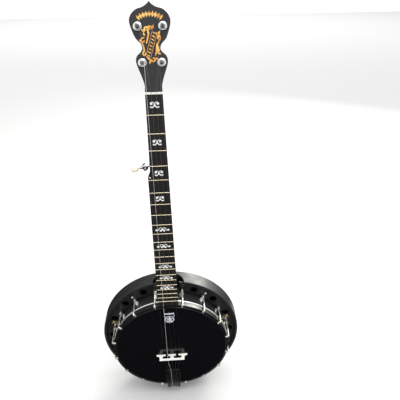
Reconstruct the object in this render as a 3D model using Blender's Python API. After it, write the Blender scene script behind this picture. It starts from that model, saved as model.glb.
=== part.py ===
"""Five-string resonator banjo, modelled piece by piece in metres.

World frame: the origin is on the back of the neck at the nut line, +Z runs up the instrument
to the tip of the headstock, -Y is the side that the strings and the drum head face, and +X is
to the right for someone looking at the strings.

Three empties carry the pieces:
  neck_frame       origin on the fretboard surface at the nut line, +Y into the neck, +Z up the neck
  headstock_frame  origin where the headstock face begins, tilted back from the neck
  pot_frame        origin on the pot's axis, +Z out of the drum head, +Y towards the neck
"""
import math

import bmesh
import bpy
from mathutils import Matrix, Vector

MM = 0.001
GAP = 0.3 * MM                          # clearance between pieces that touch

# ------------------------------------------------------------------ neck and strings
SCALE_LENGTH = 666.75 * MM              # nut to bridge, 26 1/4 inches
FRET_COUNT = 22
NECK_PITCH = math.radians(1.5)          # the neck leans back from the plane of the pot
NECK_DEPTH_AT_NUT = 20 * MM             # fretboard surface to the back of the neck
NECK_DEPTH_AT_HEEL = 23.6 * MM
NUT_HALF_WIDTH = 15.6 * MM
EDGE_SPREAD = 0.016                     # how fast each edge leaves the centre line
SHOULDER_HALF_WIDTH = 22 * MM           # bass side below the fifth-string shoulder
SHOULDER_SPREAD = 0.0045
SHOULDER_START = 147 * MM               # the shoulder's S-curve, measured below the nut
SHOULDER_END = 163 * MM
FRETBOARD_THICKNESS = 5.5 * MM
FRETBOARD_LENGTH = 487.7 * MM
FRET_WIDTH = 2.2 * MM
FRET_HEIGHT = 1.0 * MM
FRET_INSET = 0.4 * MM                   # fret ends stop this far inside the board's edge
HEEL_START = 405 * MM                   # where the back begins to sweep into the heel
HEEL_FULL = 482 * MM
HEEL_DEPTH = 80 * MM                    # depth of the full heel before its cap is cut flat
HEEL_CAP_DEPTH = 76 * MM
NECK_TOP = 10 * MM                      # the shaft ends inside the headstock
NECK_TOP_DEPTH = 17 * MM
NECK_BOTTOM = 508 * MM                  # past the rim, then cut to fit it

NUT_BOTTOM = 0.3 * MM
NUT_TOP = 3.5 * MM
NUT_RISE = 1.3 * MM                     # nut above the fretboard surface
NUT_STRING_SPACING = 8.4 * MM
BRIDGE_STRING_SPACING = 10.5 * MM
TAIL_FRONT_STRING_SPACING = 5.0 * MM
TAIL_REAR_STRING_SPACING = 4.0 * MM
STRING_DIAMETERS = (0.26, 0.30, 0.36, 0.58, 0.26)   # millimetres, first to fifth string

# ------------------------------------------------------------------ headstock and tuners
HEADSTOCK_TILT = math.radians(13)
HEADSTOCK_ORIGIN = (0.0, 3 * MM, 4 * MM)
HEADSTOCK_THICKNESS = 14 * MM
# one side of the outline, from the nut to the tip: height up the headstock, half width (mm)
HEADSTOCK_SIDE = (
    (1, 15.2), (12, 15.4), (26, 19.4), (40, 24.6), (51, 27.6), (60, 25.6), (66.5, 18.6),
    (73, 15.7), (81, 18), (89.5, 26.2), (102, 31.6), (115.5, 35), (126, 32), (134.5, 23),
    (138, 12), (142.5, 4.5), (147, 0),
)
# string number: sideways place and height up the headstock (mm)
TUNER_PLACES = {1: (16.8, 48.7), 2: (21.5, 107.5), 3: (-21.5, 107.5), 4: (-16.8, 48.7)}
TUNER_POST_RADIUS = 3.17 * MM
TUNER_STRING_HEIGHT = 8 * MM            # where the string meets the post, above the face

FIFTH_TUNER_SIDE = 26.7 * MM            # post axis left of the centre line
FIFTH_TUNER_DROP = 141.5 * MM           # post axis below the nut
FIFTH_TUNER_TURN = math.radians(15)     # the button points left and a little down
FIFTH_TUNER_DEPTH = 11 * MM             # shank axis behind the fretboard surface
FIFTH_POST_RADIUS = 2.2 * MM
FIFTH_NUT_SIDE = 18.6 * MM
FIFTH_NUT_DROP = 161 * MM
FIFTH_NUT_RISE = 2.0 * MM

# ------------------------------------------------------------------ pot (heights are +Z of pot_frame)
POT_DROP = 643.3 * MM                   # pot axis below the origin
POT_SEGMENTS = 48
RIM_INNER_RADIUS = 126 * MM
RIM_OUTER_RADIUS = 138.6 * MM
RIM_BACK = -44 * MM
RIM_FRONT = 13.7 * MM
TONE_RING_WIDTH = 7.6 * MM
HEAD_HEIGHT = 27 * MM                   # playing surface
HEAD_THICKNESS = 0.35 * MM
HEAD_CROWN = 0.9 * MM                   # rounding of the tone ring's edge under the film
FLESH_HOOP_OUTER_RADIUS = 145.8 * MM
FLESH_HOOP_BACK = 7 * MM
FLESH_HOOP_FRONT = 11.7 * MM
HOOP_INNER_RADIUS = 139.7 * MM
HOOP_OUTER_RADIUS = 145.2 * MM
HOOP_FRONT = 25 * MM
HOOP_DEPTH = 13 * MM
HOOP_CHAMFER = 0.8 * MM

HOOK_ANGLES = [13 + 22 * step for step in range(8)] + [193 + 22 * step for step in range(8)]
HOOK_RADIUS = 149.2 * MM                # axis of the hook's shaft
HOOK_SHAFT_RADIUS = 1.7 * MM
HOOK_END = -27 * MM
CLAW_TIP_RADIUS = 140.5 * MM
CLAW_THICKNESS = 3 * MM
CLAW_WIDTH = 5.5 * MM
SHOE_WIDTH = 10 * MM
SHOE_THICKNESS = 2.4 * MM
SHOE_TAB_BACK = -21 * MM
SHOE_FRONT = -6 * MM
SHOE_REACH = 154 * MM
HOOK_NUT_RADIUS = 3.7 * MM
HOOK_NUT_LENGTH = 5 * MM

ROD_HEIGHT = -12 * MM                   # coordinator rod and tail bolt share this line
ROD_HOLE_RADIUS = 3.4 * MM

BRIDGE_DROP = 26 * MM                   # bridge below the pot axis
BRIDGE_HEIGHT = 16.6 * MM
BRIDGE_FOOT_THICKNESS = 4.6 * MM
BRIDGE_TOP_THICKNESS = 2.2 * MM

TAIL_FRONT = 72 * MM                    # tailpiece, distance from the pot axis
TAIL_REAR = 153 * MM
TAIL_FRONT_HEIGHT = 37.5 * MM
TAIL_REAR_HEIGHT = 30 * MM
TAIL_THICKNESS = 2.5 * MM
TAIL_LEG_HALF_WIDTH = 9 * MM
TAIL_LEG_BACK = -18.5 * MM
TAIL_SCREW_HEIGHT = 18.5 * MM           # adjusting screw, level with the tension hoop

# ------------------------------------------------------------------ resonator
RESONATOR_RADIUS = 176.2 * MM
RESONATOR_INNER_RADIUS = 170 * MM
RESONATOR_FRONT = -22.8 * MM
RESONATOR_BACK = -67 * MM               # flat middle of the back
RESONATOR_FLAT_RADIUS = 60 * MM
RESONATOR_WALL_DEPTH = 40 * MM
RESONATOR_CORNER = 2.5 * MM
RESONATOR_THICKNESS = 4.5 * MM          # of the back
HEEL_NOTCH_HALF_WIDTH = 39 * MM
HEEL_NOTCH_DEPTH = 31 * MM
HEEL_NOTCH_CORNER = 28 * MM
FLANGE_FRONT = -28 * MM
FLANGE_THICKNESS = 5 * MM
FLANGE_INNER_RADIUS = 141 * MM
FLANGE_SLOT_HALF_WIDTH = 27 * MM        # opening of the flange around the heel
SOUND_HOLE_ANGLES = [24 + 22 * step for step in range(7)] + [204 + 22 * step for step in range(7)]
SOUND_HOLE_PLACE = 154 * MM
SOUND_HOLE_RADIUS = 9 * MM

THUMBSCREW_ANGLES = (73.5, 139.5, 220.5, 286.5)
THUMBSCREW_PLACE = 151.5 * MM
THUMBSCREW_HOLE_RADIUS = 2.4 * MM
BRACKET_HALF_WIDTH = 7 * MM
BRACKET_THICKNESS = 1.8 * MM
BRACKET_REACH = 159 * MM


# ------------------------------------------------------------------ tools
def clear_scene():
    for item in list(bpy.data.objects):
        bpy.data.objects.remove(item, do_unlink=True)


def make_material(name, colour, roughness, metallic=0.0):
    material = bpy.data.materials.new(name)
    material.use_nodes = True
    shader = material.node_tree.nodes["Principled BSDF"]
    shader.inputs["Base Color"].default_value = (*colour, 1.0)
    shader.inputs["Roughness"].default_value = roughness
    shader.inputs["Metallic"].default_value = metallic
    return material


def make_materials():
    return {
        "black_satin": make_material("black_satin", (0.012, 0.012, 0.012), 0.45),
        "fretboard_wood": make_material("fretboard_wood", (0.010, 0.009, 0.009), 0.5),
        "head_film": make_material("head_film", (0.006, 0.006, 0.007), 0.06),
        "chrome": make_material("chrome", (0.75, 0.75, 0.76), 0.12, 1.0),
        "aluminium": make_material("aluminium", (0.82, 0.82, 0.80), 0.3, 1.0),
        "brass": make_material("brass", (0.50, 0.43, 0.24), 0.35, 1.0),
        "maple": make_material("maple", (0.80, 0.74, 0.62), 0.55),
        "bone": make_material("bone", (0.85, 0.83, 0.76), 0.4),
        "pearloid": make_material("pearloid", (0.80, 0.76, 0.66), 0.3),
        "black_metal": make_material("black_metal", (0.02, 0.02, 0.02), 0.35, 0.6),
        "steel_string": make_material("steel_string", (0.62, 0.61, 0.58), 0.25, 1.0),
    }


def make_frame(name, parent=None, location=(0, 0, 0), rotation=(0, 0, 0)):
    empty = bpy.data.objects.new(name, None)
    bpy.context.scene.collection.objects.link(empty)
    empty.parent = parent
    empty.location = location
    empty.rotation_euler = rotation
    return empty


def mesh_from(bm, name):
    """Close a bmesh into a mesh with outward faces and smooth round sides."""
    bmesh.ops.recalc_face_normals(bm, faces=bm.faces[:])
    mesh = bpy.data.meshes.new(name)
    bm.to_mesh(mesh)
    bm.free()
    mesh.shade_smooth()
    mesh.set_sharp_from_angle(angle=math.radians(35))
    return mesh


def place(name, mesh, material, parent, location=(0, 0, 0), rotation=(0, 0, 0)):
    item = bpy.data.objects.new(name, mesh)
    bpy.context.scene.collection.objects.link(item)
    item.parent = parent
    item.location = location
    item.rotation_euler = rotation
    if material and not mesh.materials:
        mesh.materials.append(material)
    return item


def turned(profile, segments, ring=False):
    """Spin (radius, height) points about Z; a ring's profile closes on itself."""
    bm = bmesh.new()
    points = [bm.verts.new((radius, 0.0, height)) for radius, height in profile]
    lines = [bm.edges.new(pair) for pair in zip(points, points[1:])]
    if ring:
        lines.append(bm.edges.new((points[-1], points[0])))
    bmesh.ops.spin(bm, geom=points + lines, cent=(0, 0, 0), axis=(0, 0, 1),
                   angle=math.tau, steps=segments, use_merge=True, use_duplicate=False)
    bmesh.ops.remove_doubles(bm, verts=bm.verts[:], dist=1e-6)
    return bm


def extruded(outline, start, end):
    """Raise a closed (x, y) outline from height start to height end along Z."""
    bm = bmesh.new()
    base = bm.faces.new([bm.verts.new((x, y, start)) for x, y in outline])
    raised = bmesh.ops.extrude_face_region(bm, geom=[base])
    moved = [item for item in raised["geom"] if isinstance(item, bmesh.types.BMVert)]
    bmesh.ops.translate(bm, verts=moved, vec=(0, 0, end - start))
    return bm


def box(low, high):
    bm = bmesh.new()
    size = Vector(high) - Vector(low)
    middle = (Vector(high) + Vector(low)) / 2
    shape = Matrix.Translation(middle) @ Matrix.Diagonal((*size, 1.0))
    bmesh.ops.create_cube(bm, size=1.0, matrix=shape)
    return bm


def rounded(corners, radii, steps=4):
    """Outline through the corners, each turned into an arc of its radius, or kept if it is 0."""
    outline = []
    count = len(corners)
    for index, (corner, radius) in enumerate(zip(corners, radii)):
        if radius == 0:
            outline.append(corner)
            continue
        here = Vector(corner)
        before = (Vector(corners[index - 1]) - here).normalized()
        after = (Vector(corners[(index + 1) % count]) - here).normalized()
        half = before.angle(after) / 2
        centre = here + (before + after).normalized() * radius / math.sin(half)
        first = here + before * radius / math.tan(half) - centre
        last = here + after * radius / math.tan(half) - centre
        sweep = first.angle_signed(last)
        for step in range(steps + 1):
            spoke = first.copy()
            spoke.rotate(Matrix.Rotation(-sweep * step / steps, 2))
            outline.append(tuple(centre + spoke))
    return outline


def smooth_curve(points, steps):
    """Points along a Catmull-Rom curve through the given (x, y) points."""
    curve = []
    for index in range(len(points) - 1):
        before = Vector(points[max(index - 1, 0)])
        start = Vector(points[index])
        end = Vector(points[index + 1])
        after = Vector(points[min(index + 2, len(points) - 1)])
        for step in range(steps):
            t = step / steps
            bend = (2 * start + (end - before) * t + (2 * before - 5 * start + 4 * end - after) * t ** 2
                    + (3 * start - before - 3 * end + after) * t ** 3)
            curve.append(tuple(bend / 2))
    curve.append(tuple(points[-1]))
    return curve


def boolean(target, tool, operation):
    tool.hide_render = True
    tool.display_type = "WIRE"
    modifier = target.modifiers.new(f"{operation.lower()} {tool.name}", "BOOLEAN")
    modifier.operation = operation
    modifier.solver = "EXACT"
    modifier.object = tool


def cutter(name, bm, parent, location=(0, 0, 0), rotation=(0, 0, 0)):
    return place(name, mesh_from(bm, name), None, parent, location, rotation)


def joined(name, pieces):
    """One closed mesh from overlapping bmesh pieces, united in their own frame."""
    objects = [place(f"{name}_piece", mesh_from(piece, name), None, None) for piece in pieces]
    for tool in objects[1:]:
        boolean(objects[0], tool, "UNION")
    graph = bpy.context.evaluated_depsgraph_get()
    mesh = bpy.data.meshes.new_from_object(objects[0].evaluated_get(graph))
    mesh.name = name
    for item in objects:
        bpy.data.objects.remove(item, do_unlink=True)
    return mesh


def upright(bm):
    """Stand a piece drawn as a (radius, height) side view in the Y-Z plane, widths along X."""
    bm.transform(Matrix(((0, 0, 1, 0), (1, 0, 0, 0), (0, 1, 0, 0), (0, 0, 0, 1))))
    return bm


def around(angle):
    """Rotation that turns pot_frame's +Y to a clock angle in degrees from the neck."""
    return (0, 0, -math.radians(angle))


# ------------------------------------------------------------------ neck group
def fret_drop(number):
    return SCALE_LENGTH * (1 - 2 ** (-number / 12))


def treble_half_width(drop):
    return NUT_HALF_WIDTH + EDGE_SPREAD * drop


def bass_half_width(drop):
    """Narrow above the fifth-string shoulder, wide below it."""
    narrow = treble_half_width(drop)
    wide = SHOULDER_HALF_WIDTH + SHOULDER_SPREAD * drop
    t = min(max((drop - SHOULDER_START) / (SHOULDER_END - SHOULDER_START), 0), 1)
    return narrow + (wide - narrow) * t * t * (3 - 2 * t)


def neck_depth(drop):
    """Fretboard surface to the back of the neck, with the heel as a quarter ellipse."""
    if drop < 0:
        return NECK_DEPTH_AT_NUT + (NECK_TOP_DEPTH - NECK_DEPTH_AT_NUT) * -drop / NECK_TOP
    slim = NECK_DEPTH_AT_NUT + (NECK_DEPTH_AT_HEEL - NECK_DEPTH_AT_NUT) * min(drop / HEEL_START, 1)
    t = min(max((drop - HEEL_START) / (HEEL_FULL - HEEL_START), 0), 1)
    return slim + (HEEL_DEPTH - slim) * (1 - math.sqrt(1 - t * t))


def shoulder_drops(count):
    length = SHOULDER_END - SHOULDER_START
    return [SHOULDER_START + length * step / count for step in range(count + 1)]


def neck_shaft():
    """Half-round shaft lofted through sections from inside the headstock to the pot."""
    front = FRETBOARD_THICKNESS + GAP
    section_steps = 12
    heel_fractions = (0.25, 0.45, 0.62, 0.76, 0.87, 0.95, 1.0)
    drops = [-NECK_TOP, 0, 75 * MM, *shoulder_drops(4), 260 * MM, 340 * MM, HEEL_START]
    drops += [HEEL_START + (HEEL_FULL - HEEL_START) * part for part in heel_fractions]
    drops.append(NECK_BOTTOM)
    bm = bmesh.new()
    sections = []
    for drop in drops:
        section = []
        for step in range(section_steps + 1):
            turn = math.pi * step / section_steps
            half = treble_half_width(drop) if step <= section_steps / 2 else bass_half_width(drop)
            depth = front + (neck_depth(drop) - front) * math.sin(turn)
            section.append(bm.verts.new((half * math.cos(turn), depth, -drop)))
        sections.append(section)
    for upper, lower in zip(sections, sections[1:]):
        for index in range(-1, section_steps):
            bm.faces.new((upper[index], upper[index + 1], lower[index + 1], lower[index]))
    bm.faces.new(sections[0])
    bm.faces.new(sections[-1])
    return mesh_from(bm, "neck")


def headstock_slab():
    """Crowned headstock outline, extruded from its face to its back."""
    side = smooth_curve([(half * MM, height * MM) for height, half in HEADSTOCK_SIDE], 2)
    outline = side + [(-x, y) for x, y in reversed(side[:-1])]
    return extruded(outline, -HEADSTOCK_THICKNESS, 0)


def build_neck(frames, materials):
    neck = place("neck", neck_shaft(), materials["black_satin"], frames["neck"])
    face_up = (math.pi / 2, 0, 0)
    slab = cutter("headstock_slab", headstock_slab(), frames["headstock"], rotation=face_up)
    boolean(neck, slab, "UNION")

    cap_block = box((-40 * MM, HEEL_CAP_DEPTH, -520 * MM), (40 * MM, 100 * MM, -440 * MM))
    boolean(neck, cutter("heel_cap_cut", cap_block, frames["neck"]), "DIFFERENCE")

    rim_room = RIM_OUTER_RADIUS + GAP
    hoop_room = FLESH_HOOP_OUTER_RADIUS + GAP
    step_height = FLESH_HOOP_BACK - 2 * GAP
    pot_profile = [(0, -90 * MM), (rim_room, -90 * MM), (rim_room, step_height),
                   (hoop_room, step_height), (hoop_room, 60 * MM), (0, 60 * MM)]
    pot_room = cutter("pot_room", turned(pot_profile, POT_SEGMENTS), frames["pot"])
    boolean(neck, pot_room, "DIFFERENCE")
    boolean(neck, frames["rod_hole"], "DIFFERENCE")

    for string, (side, height) in TUNER_PLACES.items():
        bore = turned([(0, -20 * MM), (5.3 * MM, -20 * MM), (5.3 * MM, 5 * MM), (0, 5 * MM)], 16)
        hole = cutter(f"tuner_hole_{string}", bore, frames["headstock"],
                      (side * MM, 0, height * MM), face_up)
        boolean(neck, hole, "DIFFERENCE")

    shank_profile = [(0, 4 * MM), (3.3 * MM, 4 * MM), (3.3 * MM, 20.5 * MM), (0, 20.5 * MM)]
    shank_hole = cutter("fifth_tuner_hole", turned(shank_profile, 12), frames["fifth_tuner"],
                        rotation=(0, math.pi / 2, 0))
    boolean(neck, shank_hole, "DIFFERENCE")


def build_fretboard(frames, materials):
    drops = [0, *shoulder_drops(6), FRETBOARD_LENGTH]
    bass_edge = [(-bass_half_width(drop), -drop) for drop in drops]
    treble_edge = [(treble_half_width(drop), -drop) for drop in (FRETBOARD_LENGTH, 0)]
    face_up = (math.pi / 2, 0, 0)
    mesh = mesh_from(extruded(bass_edge + treble_edge, -FRETBOARD_THICKNESS, 0), "fretboard")
    board = place("fretboard", mesh, materials["fretboard_wood"], frames["neck"], rotation=face_up)

    frets = bmesh.new()
    for number in range(1, FRET_COUNT + 1):
        drop = fret_drop(number)
        left = -(bass_half_width(drop) - FRET_INSET)
        right = treble_half_width(drop) - FRET_INSET
        size = (right - left, FRET_WIDTH, 2 * FRET_HEIGHT, 1.0)
        middle = Matrix.Translation(((left + right) / 2, -drop, 0))
        bmesh.ops.create_cube(frets, size=1.0, matrix=middle @ Matrix.Diagonal(size))
    boolean(board, cutter("frets", frets, frames["neck"], rotation=face_up), "UNION")


def build_nuts(frames, materials):
    nut = box((-NUT_HALF_WIDTH, -NUT_RISE, NUT_BOTTOM),
              (NUT_HALF_WIDTH, FRETBOARD_THICKNESS, NUT_TOP))
    place("nut", mesh_from(nut, "nut"), materials["bone"], frames["neck"])

    profile = [(0, GAP), (1.5 * MM, GAP), (1.5 * MM, FIFTH_NUT_RISE - 0.5 * MM),
               (1.0 * MM, FIFTH_NUT_RISE), (0, FIFTH_NUT_RISE)]
    place("fifth_string_nut", mesh_from(turned(profile, 10), "fifth_string_nut"),
          materials["bone"], frames["neck"],
          (-FIFTH_NUT_SIDE, 0, -FIFTH_NUT_DROP), (math.pi / 2, 0, 0))


# ------------------------------------------------------------------ tuners
def tuner_housing_mesh():
    """Front washer and collar, bushing through the headstock, gear drum behind it."""
    back = -HEADSTOCK_THICKNESS - GAP
    profile = [
        (3.5 * MM, 4.2 * MM), (5.2 * MM, 4.2 * MM), (5.2 * MM, 2.2 * MM), (8.15 * MM, 1.6 * MM),
        (8.15 * MM, GAP), (5 * MM, GAP), (5 * MM, back), (9.4 * MM, back),
        (9.8 * MM, back - 11.7 * MM), (6.2 * MM, -30 * MM),
        (2.3 * MM, -30 * MM), (2.3 * MM, -24 * MM), (3.5 * MM, -24 * MM),
    ]
    return mesh_from(turned(profile, 16, ring=True), "tuner_housing")


def tuner_post_mesh():
    waist = TUNER_POST_RADIUS - 0.5 * MM
    string_height = TUNER_STRING_HEIGHT
    profile = [
        (0, -23.7 * MM), (TUNER_POST_RADIUS, -23.7 * MM), (TUNER_POST_RADIUS, string_height - 2.5 * MM),
        (waist, string_height - 0.8 * MM), (waist, string_height + 0.8 * MM),
        (TUNER_POST_RADIUS, string_height + 2.5 * MM), (TUNER_POST_RADIUS, 13.5 * MM),
        (2.3 * MM, 14.3 * MM), (0, 14.3 * MM),
    ]
    return mesh_from(turned(profile, 12), "tuner_post")


def flattened_button(profile, flatness, shaft_radius):
    """Turned button, squeezed to an oval outside its round shaft."""
    bm = turned(profile, 16)
    for vert in bm.verts:
        if Vector((vert.co.x, vert.co.y)).length > shaft_radius * 1.01:
            vert.co.y *= flatness
    return bm


def tuner_button_mesh():
    shaft = 1.9 * MM
    profile = [
        (0, -24.4 * MM), (shaft, -24.4 * MM), (shaft, -30.5 * MM), (4.2 * MM, -30.5 * MM),
        (8.2 * MM, -33 * MM), (9.5 * MM, -38 * MM), (8 * MM, -43.5 * MM),
        (4 * MM, -45.5 * MM), (0, -45.5 * MM),
    ]
    return mesh_from(flattened_button(profile, 0.72, shaft), "tuner_button")


def build_tuners(frames, materials):
    housing = tuner_housing_mesh()
    post = tuner_post_mesh()
    button = tuner_button_mesh()
    face_up = (math.pi / 2, 0, 0)
    for string, (side, height) in TUNER_PLACES.items():
        spot = (side * MM, 0, height * MM)
        parent = frames["headstock"]
        place(f"tuner_housing_{string}", housing, materials["chrome"], parent, spot, face_up)
        place(f"tuner_post_{string}", post, materials["chrome"], parent, spot, face_up)
        place(f"tuner_button_{string}", button, materials["pearloid"], parent, spot, face_up)


def build_fifth_tuner(frames, materials):
    """Small geared tuner in the side of the neck; its frame has +X along the shank."""
    parent = frames["fifth_tuner"]
    along_shank = Matrix.Rotation(math.pi / 2, 4, "Y")
    out_of_face = Matrix.Rotation(math.pi / 2, 4, "X")
    depth = FIFTH_TUNER_DEPTH

    drum = turned([(0, -5.5 * MM), (5.6 * MM, -5.5 * MM), (6.4 * MM, -4.5 * MM),
                   (6.4 * MM, 5.5 * MM), (5.4 * MM, 7 * MM), (0, 7 * MM)], 16)
    drum.transform(out_of_face)
    shank = turned([(0, 4 * MM), (3 * MM, 4 * MM), (3 * MM, 20 * MM), (0, 20 * MM)], 12)
    shank.transform(along_shank)
    sleeve = turned([(0, -11 * MM), (2.9 * MM, -11 * MM), (3.9 * MM, -4 * MM), (0, -4 * MM)], 12)
    sleeve.transform(along_shank)
    body = place("fifth_tuner_housing", joined("fifth_tuner_housing", [drum, shank, sleeve]),
                 materials["chrome"], parent)
    post_bore = turned([(0, 2 * MM), (2.55 * MM, 2 * MM), (2.55 * MM, 12 * MM), (0, 12 * MM)], 12)
    boolean(body, cutter("fifth_post_bore", post_bore, parent, rotation=(math.pi / 2, 0, 0)),
            "DIFFERENCE")
    shaft_bore = turned([(0, -14 * MM), (1.9 * MM, -14 * MM), (1.9 * MM, -6 * MM), (0, -6 * MM)], 12)
    boolean(body, cutter("fifth_shaft_bore", shaft_bore, parent, rotation=(0, math.pi / 2, 0)),
            "DIFFERENCE")

    top = depth + 7 * MM
    post = [(0, 2.3 * MM), (FIFTH_POST_RADIUS, 2.3 * MM), (FIFTH_POST_RADIUS, top - 5.5 * MM),
            (FIFTH_POST_RADIUS - 0.4 * MM, top - 4.2 * MM),
            (FIFTH_POST_RADIUS - 0.4 * MM, top - 3.2 * MM),
            (FIFTH_POST_RADIUS, top - 2 * MM), (FIFTH_POST_RADIUS, top - 0.7 * MM),
            (1.5 * MM, top), (0, top)]
    place("fifth_tuner_post", mesh_from(turned(post, 12), "fifth_tuner_post"),
          materials["chrome"], parent, rotation=(math.pi / 2, 0, 0))

    shaft = 1.55 * MM
    button = [(0, -6.4 * MM), (shaft, -6.4 * MM), (shaft, -14.5 * MM), (3.4 * MM, -14.5 * MM),
              (6 * MM, -17 * MM), (6.7 * MM, -21.5 * MM), (5.6 * MM, -26.5 * MM),
              (2.8 * MM, -28.8 * MM), (0, -28.8 * MM)]
    place("fifth_tuner_button",
          mesh_from(flattened_button(button, 0.75, shaft), "fifth_tuner_button"),
          materials["pearloid"], parent, rotation=(0, math.pi / 2, 0))


# ------------------------------------------------------------------ pot
def build_pot_rings(frames, materials):
    pot = frames["pot"]
    rim_profile = [(RIM_INNER_RADIUS, RIM_BACK), (RIM_OUTER_RADIUS, RIM_BACK),
                   (RIM_OUTER_RADIUS, RIM_FRONT), (RIM_INNER_RADIUS, RIM_FRONT)]
    rim = place("rim", mesh_from(turned(rim_profile, POT_SEGMENTS, ring=True), "rim"),
                materials["black_satin"], pot)
    boolean(rim, frames["rod_hole"], "DIFFERENCE")

    ring_inner = RIM_OUTER_RADIUS - TONE_RING_WIDTH
    ring_back = RIM_FRONT + GAP
    ring_front = HEAD_HEIGHT - HEAD_THICKNESS - GAP
    tone_profile = [(ring_inner, ring_back), (RIM_OUTER_RADIUS, ring_back),
                    (RIM_OUTER_RADIUS, ring_front - HEAD_CROWN),
                    (RIM_OUTER_RADIUS - HEAD_CROWN, ring_front), (ring_inner, ring_front)]
    place("tone_ring", mesh_from(turned(tone_profile, POT_SEGMENTS, ring=True), "tone_ring"),
          materials["aluminium"], pot)

    skirt_inner = RIM_OUTER_RADIUS + GAP
    skirt_outer = skirt_inner + HEAD_THICKNESS
    under = HEAD_HEIGHT - HEAD_THICKNESS
    head_profile = [(0, under), (skirt_outer, under), (skirt_outer, HEAD_HEIGHT), (0, HEAD_HEIGHT)]
    place("drum_head", mesh_from(turned(head_profile, POT_SEGMENTS), "drum_head"),
          materials["head_film"], pot)

    # the film's turned-down skirt ends in the flesh hoop, and is one piece with it
    skirt_front = under - GAP
    flesh_profile = [(skirt_inner, FLESH_HOOP_BACK), (FLESH_HOOP_OUTER_RADIUS, FLESH_HOOP_BACK),
                     (FLESH_HOOP_OUTER_RADIUS, FLESH_HOOP_FRONT), (skirt_outer, FLESH_HOOP_FRONT),
                     (skirt_outer, skirt_front), (skirt_inner, skirt_front)]
    place("flesh_hoop", mesh_from(turned(flesh_profile, POT_SEGMENTS, ring=True), "flesh_hoop"),
          materials["aluminium"], pot)

    hoop_back = HOOP_FRONT - HOOP_DEPTH
    hoop_profile = [(HOOP_INNER_RADIUS, hoop_back), (HOOP_OUTER_RADIUS, hoop_back),
                    (HOOP_OUTER_RADIUS, HOOP_FRONT - HOOP_CHAMFER),
                    (HOOP_OUTER_RADIUS - HOOP_CHAMFER, HOOP_FRONT),
                    (HOOP_INNER_RADIUS, HOOP_FRONT)]
    place("tension_hoop", mesh_from(turned(hoop_profile, POT_SEGMENTS, ring=True), "tension_hoop"),
          materials["black_metal"], pot)


def bracket_mesh():
    """Hook over the hoop, shoe on the rim and the nut that pulls them together."""
    half = CLAW_WIDTH / 2
    claw = box((-half, CLAW_TIP_RADIUS, HOOP_FRONT + GAP),
               (half, HOOK_RADIUS + half, HOOP_FRONT + GAP + CLAW_THICKNESS))
    shaft = turned([(0, HOOK_END), (HOOK_SHAFT_RADIUS, HOOK_END),
                    (HOOK_SHAFT_RADIUS, HOOP_FRONT + CLAW_THICKNESS / 2),
                    (0, HOOP_FRONT + CLAW_THICKNESS / 2)], 8)
    shaft.transform(Matrix.Translation((0, HOOK_RADIUS, 0)))
    nut_front = SHOE_TAB_BACK + GAP
    nut = turned([(0, SHOE_TAB_BACK - HOOK_NUT_LENGTH), (HOOK_NUT_RADIUS, SHOE_TAB_BACK - HOOK_NUT_LENGTH),
                  (HOOK_NUT_RADIUS, nut_front), (0, nut_front)], 6)
    nut.transform(Matrix.Translation((0, HOOK_RADIUS, 0)))

    base = RIM_OUTER_RADIUS + GAP
    tab_front = SHOE_TAB_BACK + SHOE_THICKNESS
    side_view = [(base, SHOE_FRONT), (base, SHOE_TAB_BACK), (SHOE_REACH, SHOE_TAB_BACK),
                 (SHOE_REACH, tab_front), (base + SHOE_THICKNESS, tab_front),
                 (base + SHOE_THICKNESS, SHOE_FRONT)]
    shoe = upright(extruded(side_view, -SHOE_WIDTH / 2, SHOE_WIDTH / 2))
    return joined("bracket", [shoe, shaft, nut, claw])


def build_brackets(frames, materials):
    mesh = bracket_mesh()
    for number, angle in enumerate(HOOK_ANGLES, start=1):
        place(f"bracket_{number:02d}", mesh, materials["chrome"], frames["pot"],
              rotation=around(angle))


def build_coordinator_rod(frames, materials):
    """Rod across the pot: its top end holds the heel, its nuts bear on the rim."""
    rod = 4 * MM
    nut = 7 * MM
    wall = RIM_INNER_RADIUS * math.cos(math.pi / POT_SEGMENTS) - GAP
    nut_end = wall - 6 * MM
    neck_end = 154 * MM
    screw = 3 * MM
    profile = [(0, neck_end), (screw, neck_end), (screw, wall), (nut, wall), (nut, nut_end),
               (rod, nut_end), (rod, -nut_end), (nut, -nut_end), (nut, -wall), (0, -wall)]
    place("coordinator_rod", mesh_from(turned(profile, 12), "coordinator_rod"),
          materials["chrome"], frames["pot"], (0, 0, ROD_HEIGHT), (-math.pi / 2, 0, 0))


def build_bridge(frames, materials):
    """Three-footed bridge with two rounded windows, thicker at the feet."""
    half = [(9.9, 0), (9.9, 1.6), (5.4, 2.8), (3.9, 4.6), (3.4, 7.2), (4.2, 10), (6.6, 11.9),
            (21.6, 11.9), (24, 10), (24.8, 7.2), (24.3, 4.6), (22.6, 2.8), (16.4, 1.6), (16.4, 0),
            (39.4, 0), (39.4, 1.4), (34.6, 3.0), (32.3, 5.8), (31.7, 9.4), (31.7, BRIDGE_HEIGHT / MM)]
    right = [(x * MM, y * MM) for x, y in half]
    left = [(-x, y) for x, y in reversed(right)]
    bm = extruded(right + left, -BRIDGE_FOOT_THICKNESS / 2, BRIDGE_FOOT_THICKNESS / 2)
    for vert in bm.verts:
        rise = vert.co.y / BRIDGE_HEIGHT
        thickness = BRIDGE_FOOT_THICKNESS + (BRIDGE_TOP_THICKNESS - BRIDGE_FOOT_THICKNESS) * rise
        vert.co.z = math.copysign(thickness / 2, vert.co.z)
    place("bridge", mesh_from(bm, "bridge"), materials["maple"], frames["pot"],
          (0, -BRIDGE_DROP, HEAD_HEIGHT + GAP), (math.pi / 2, 0, 0))


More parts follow.
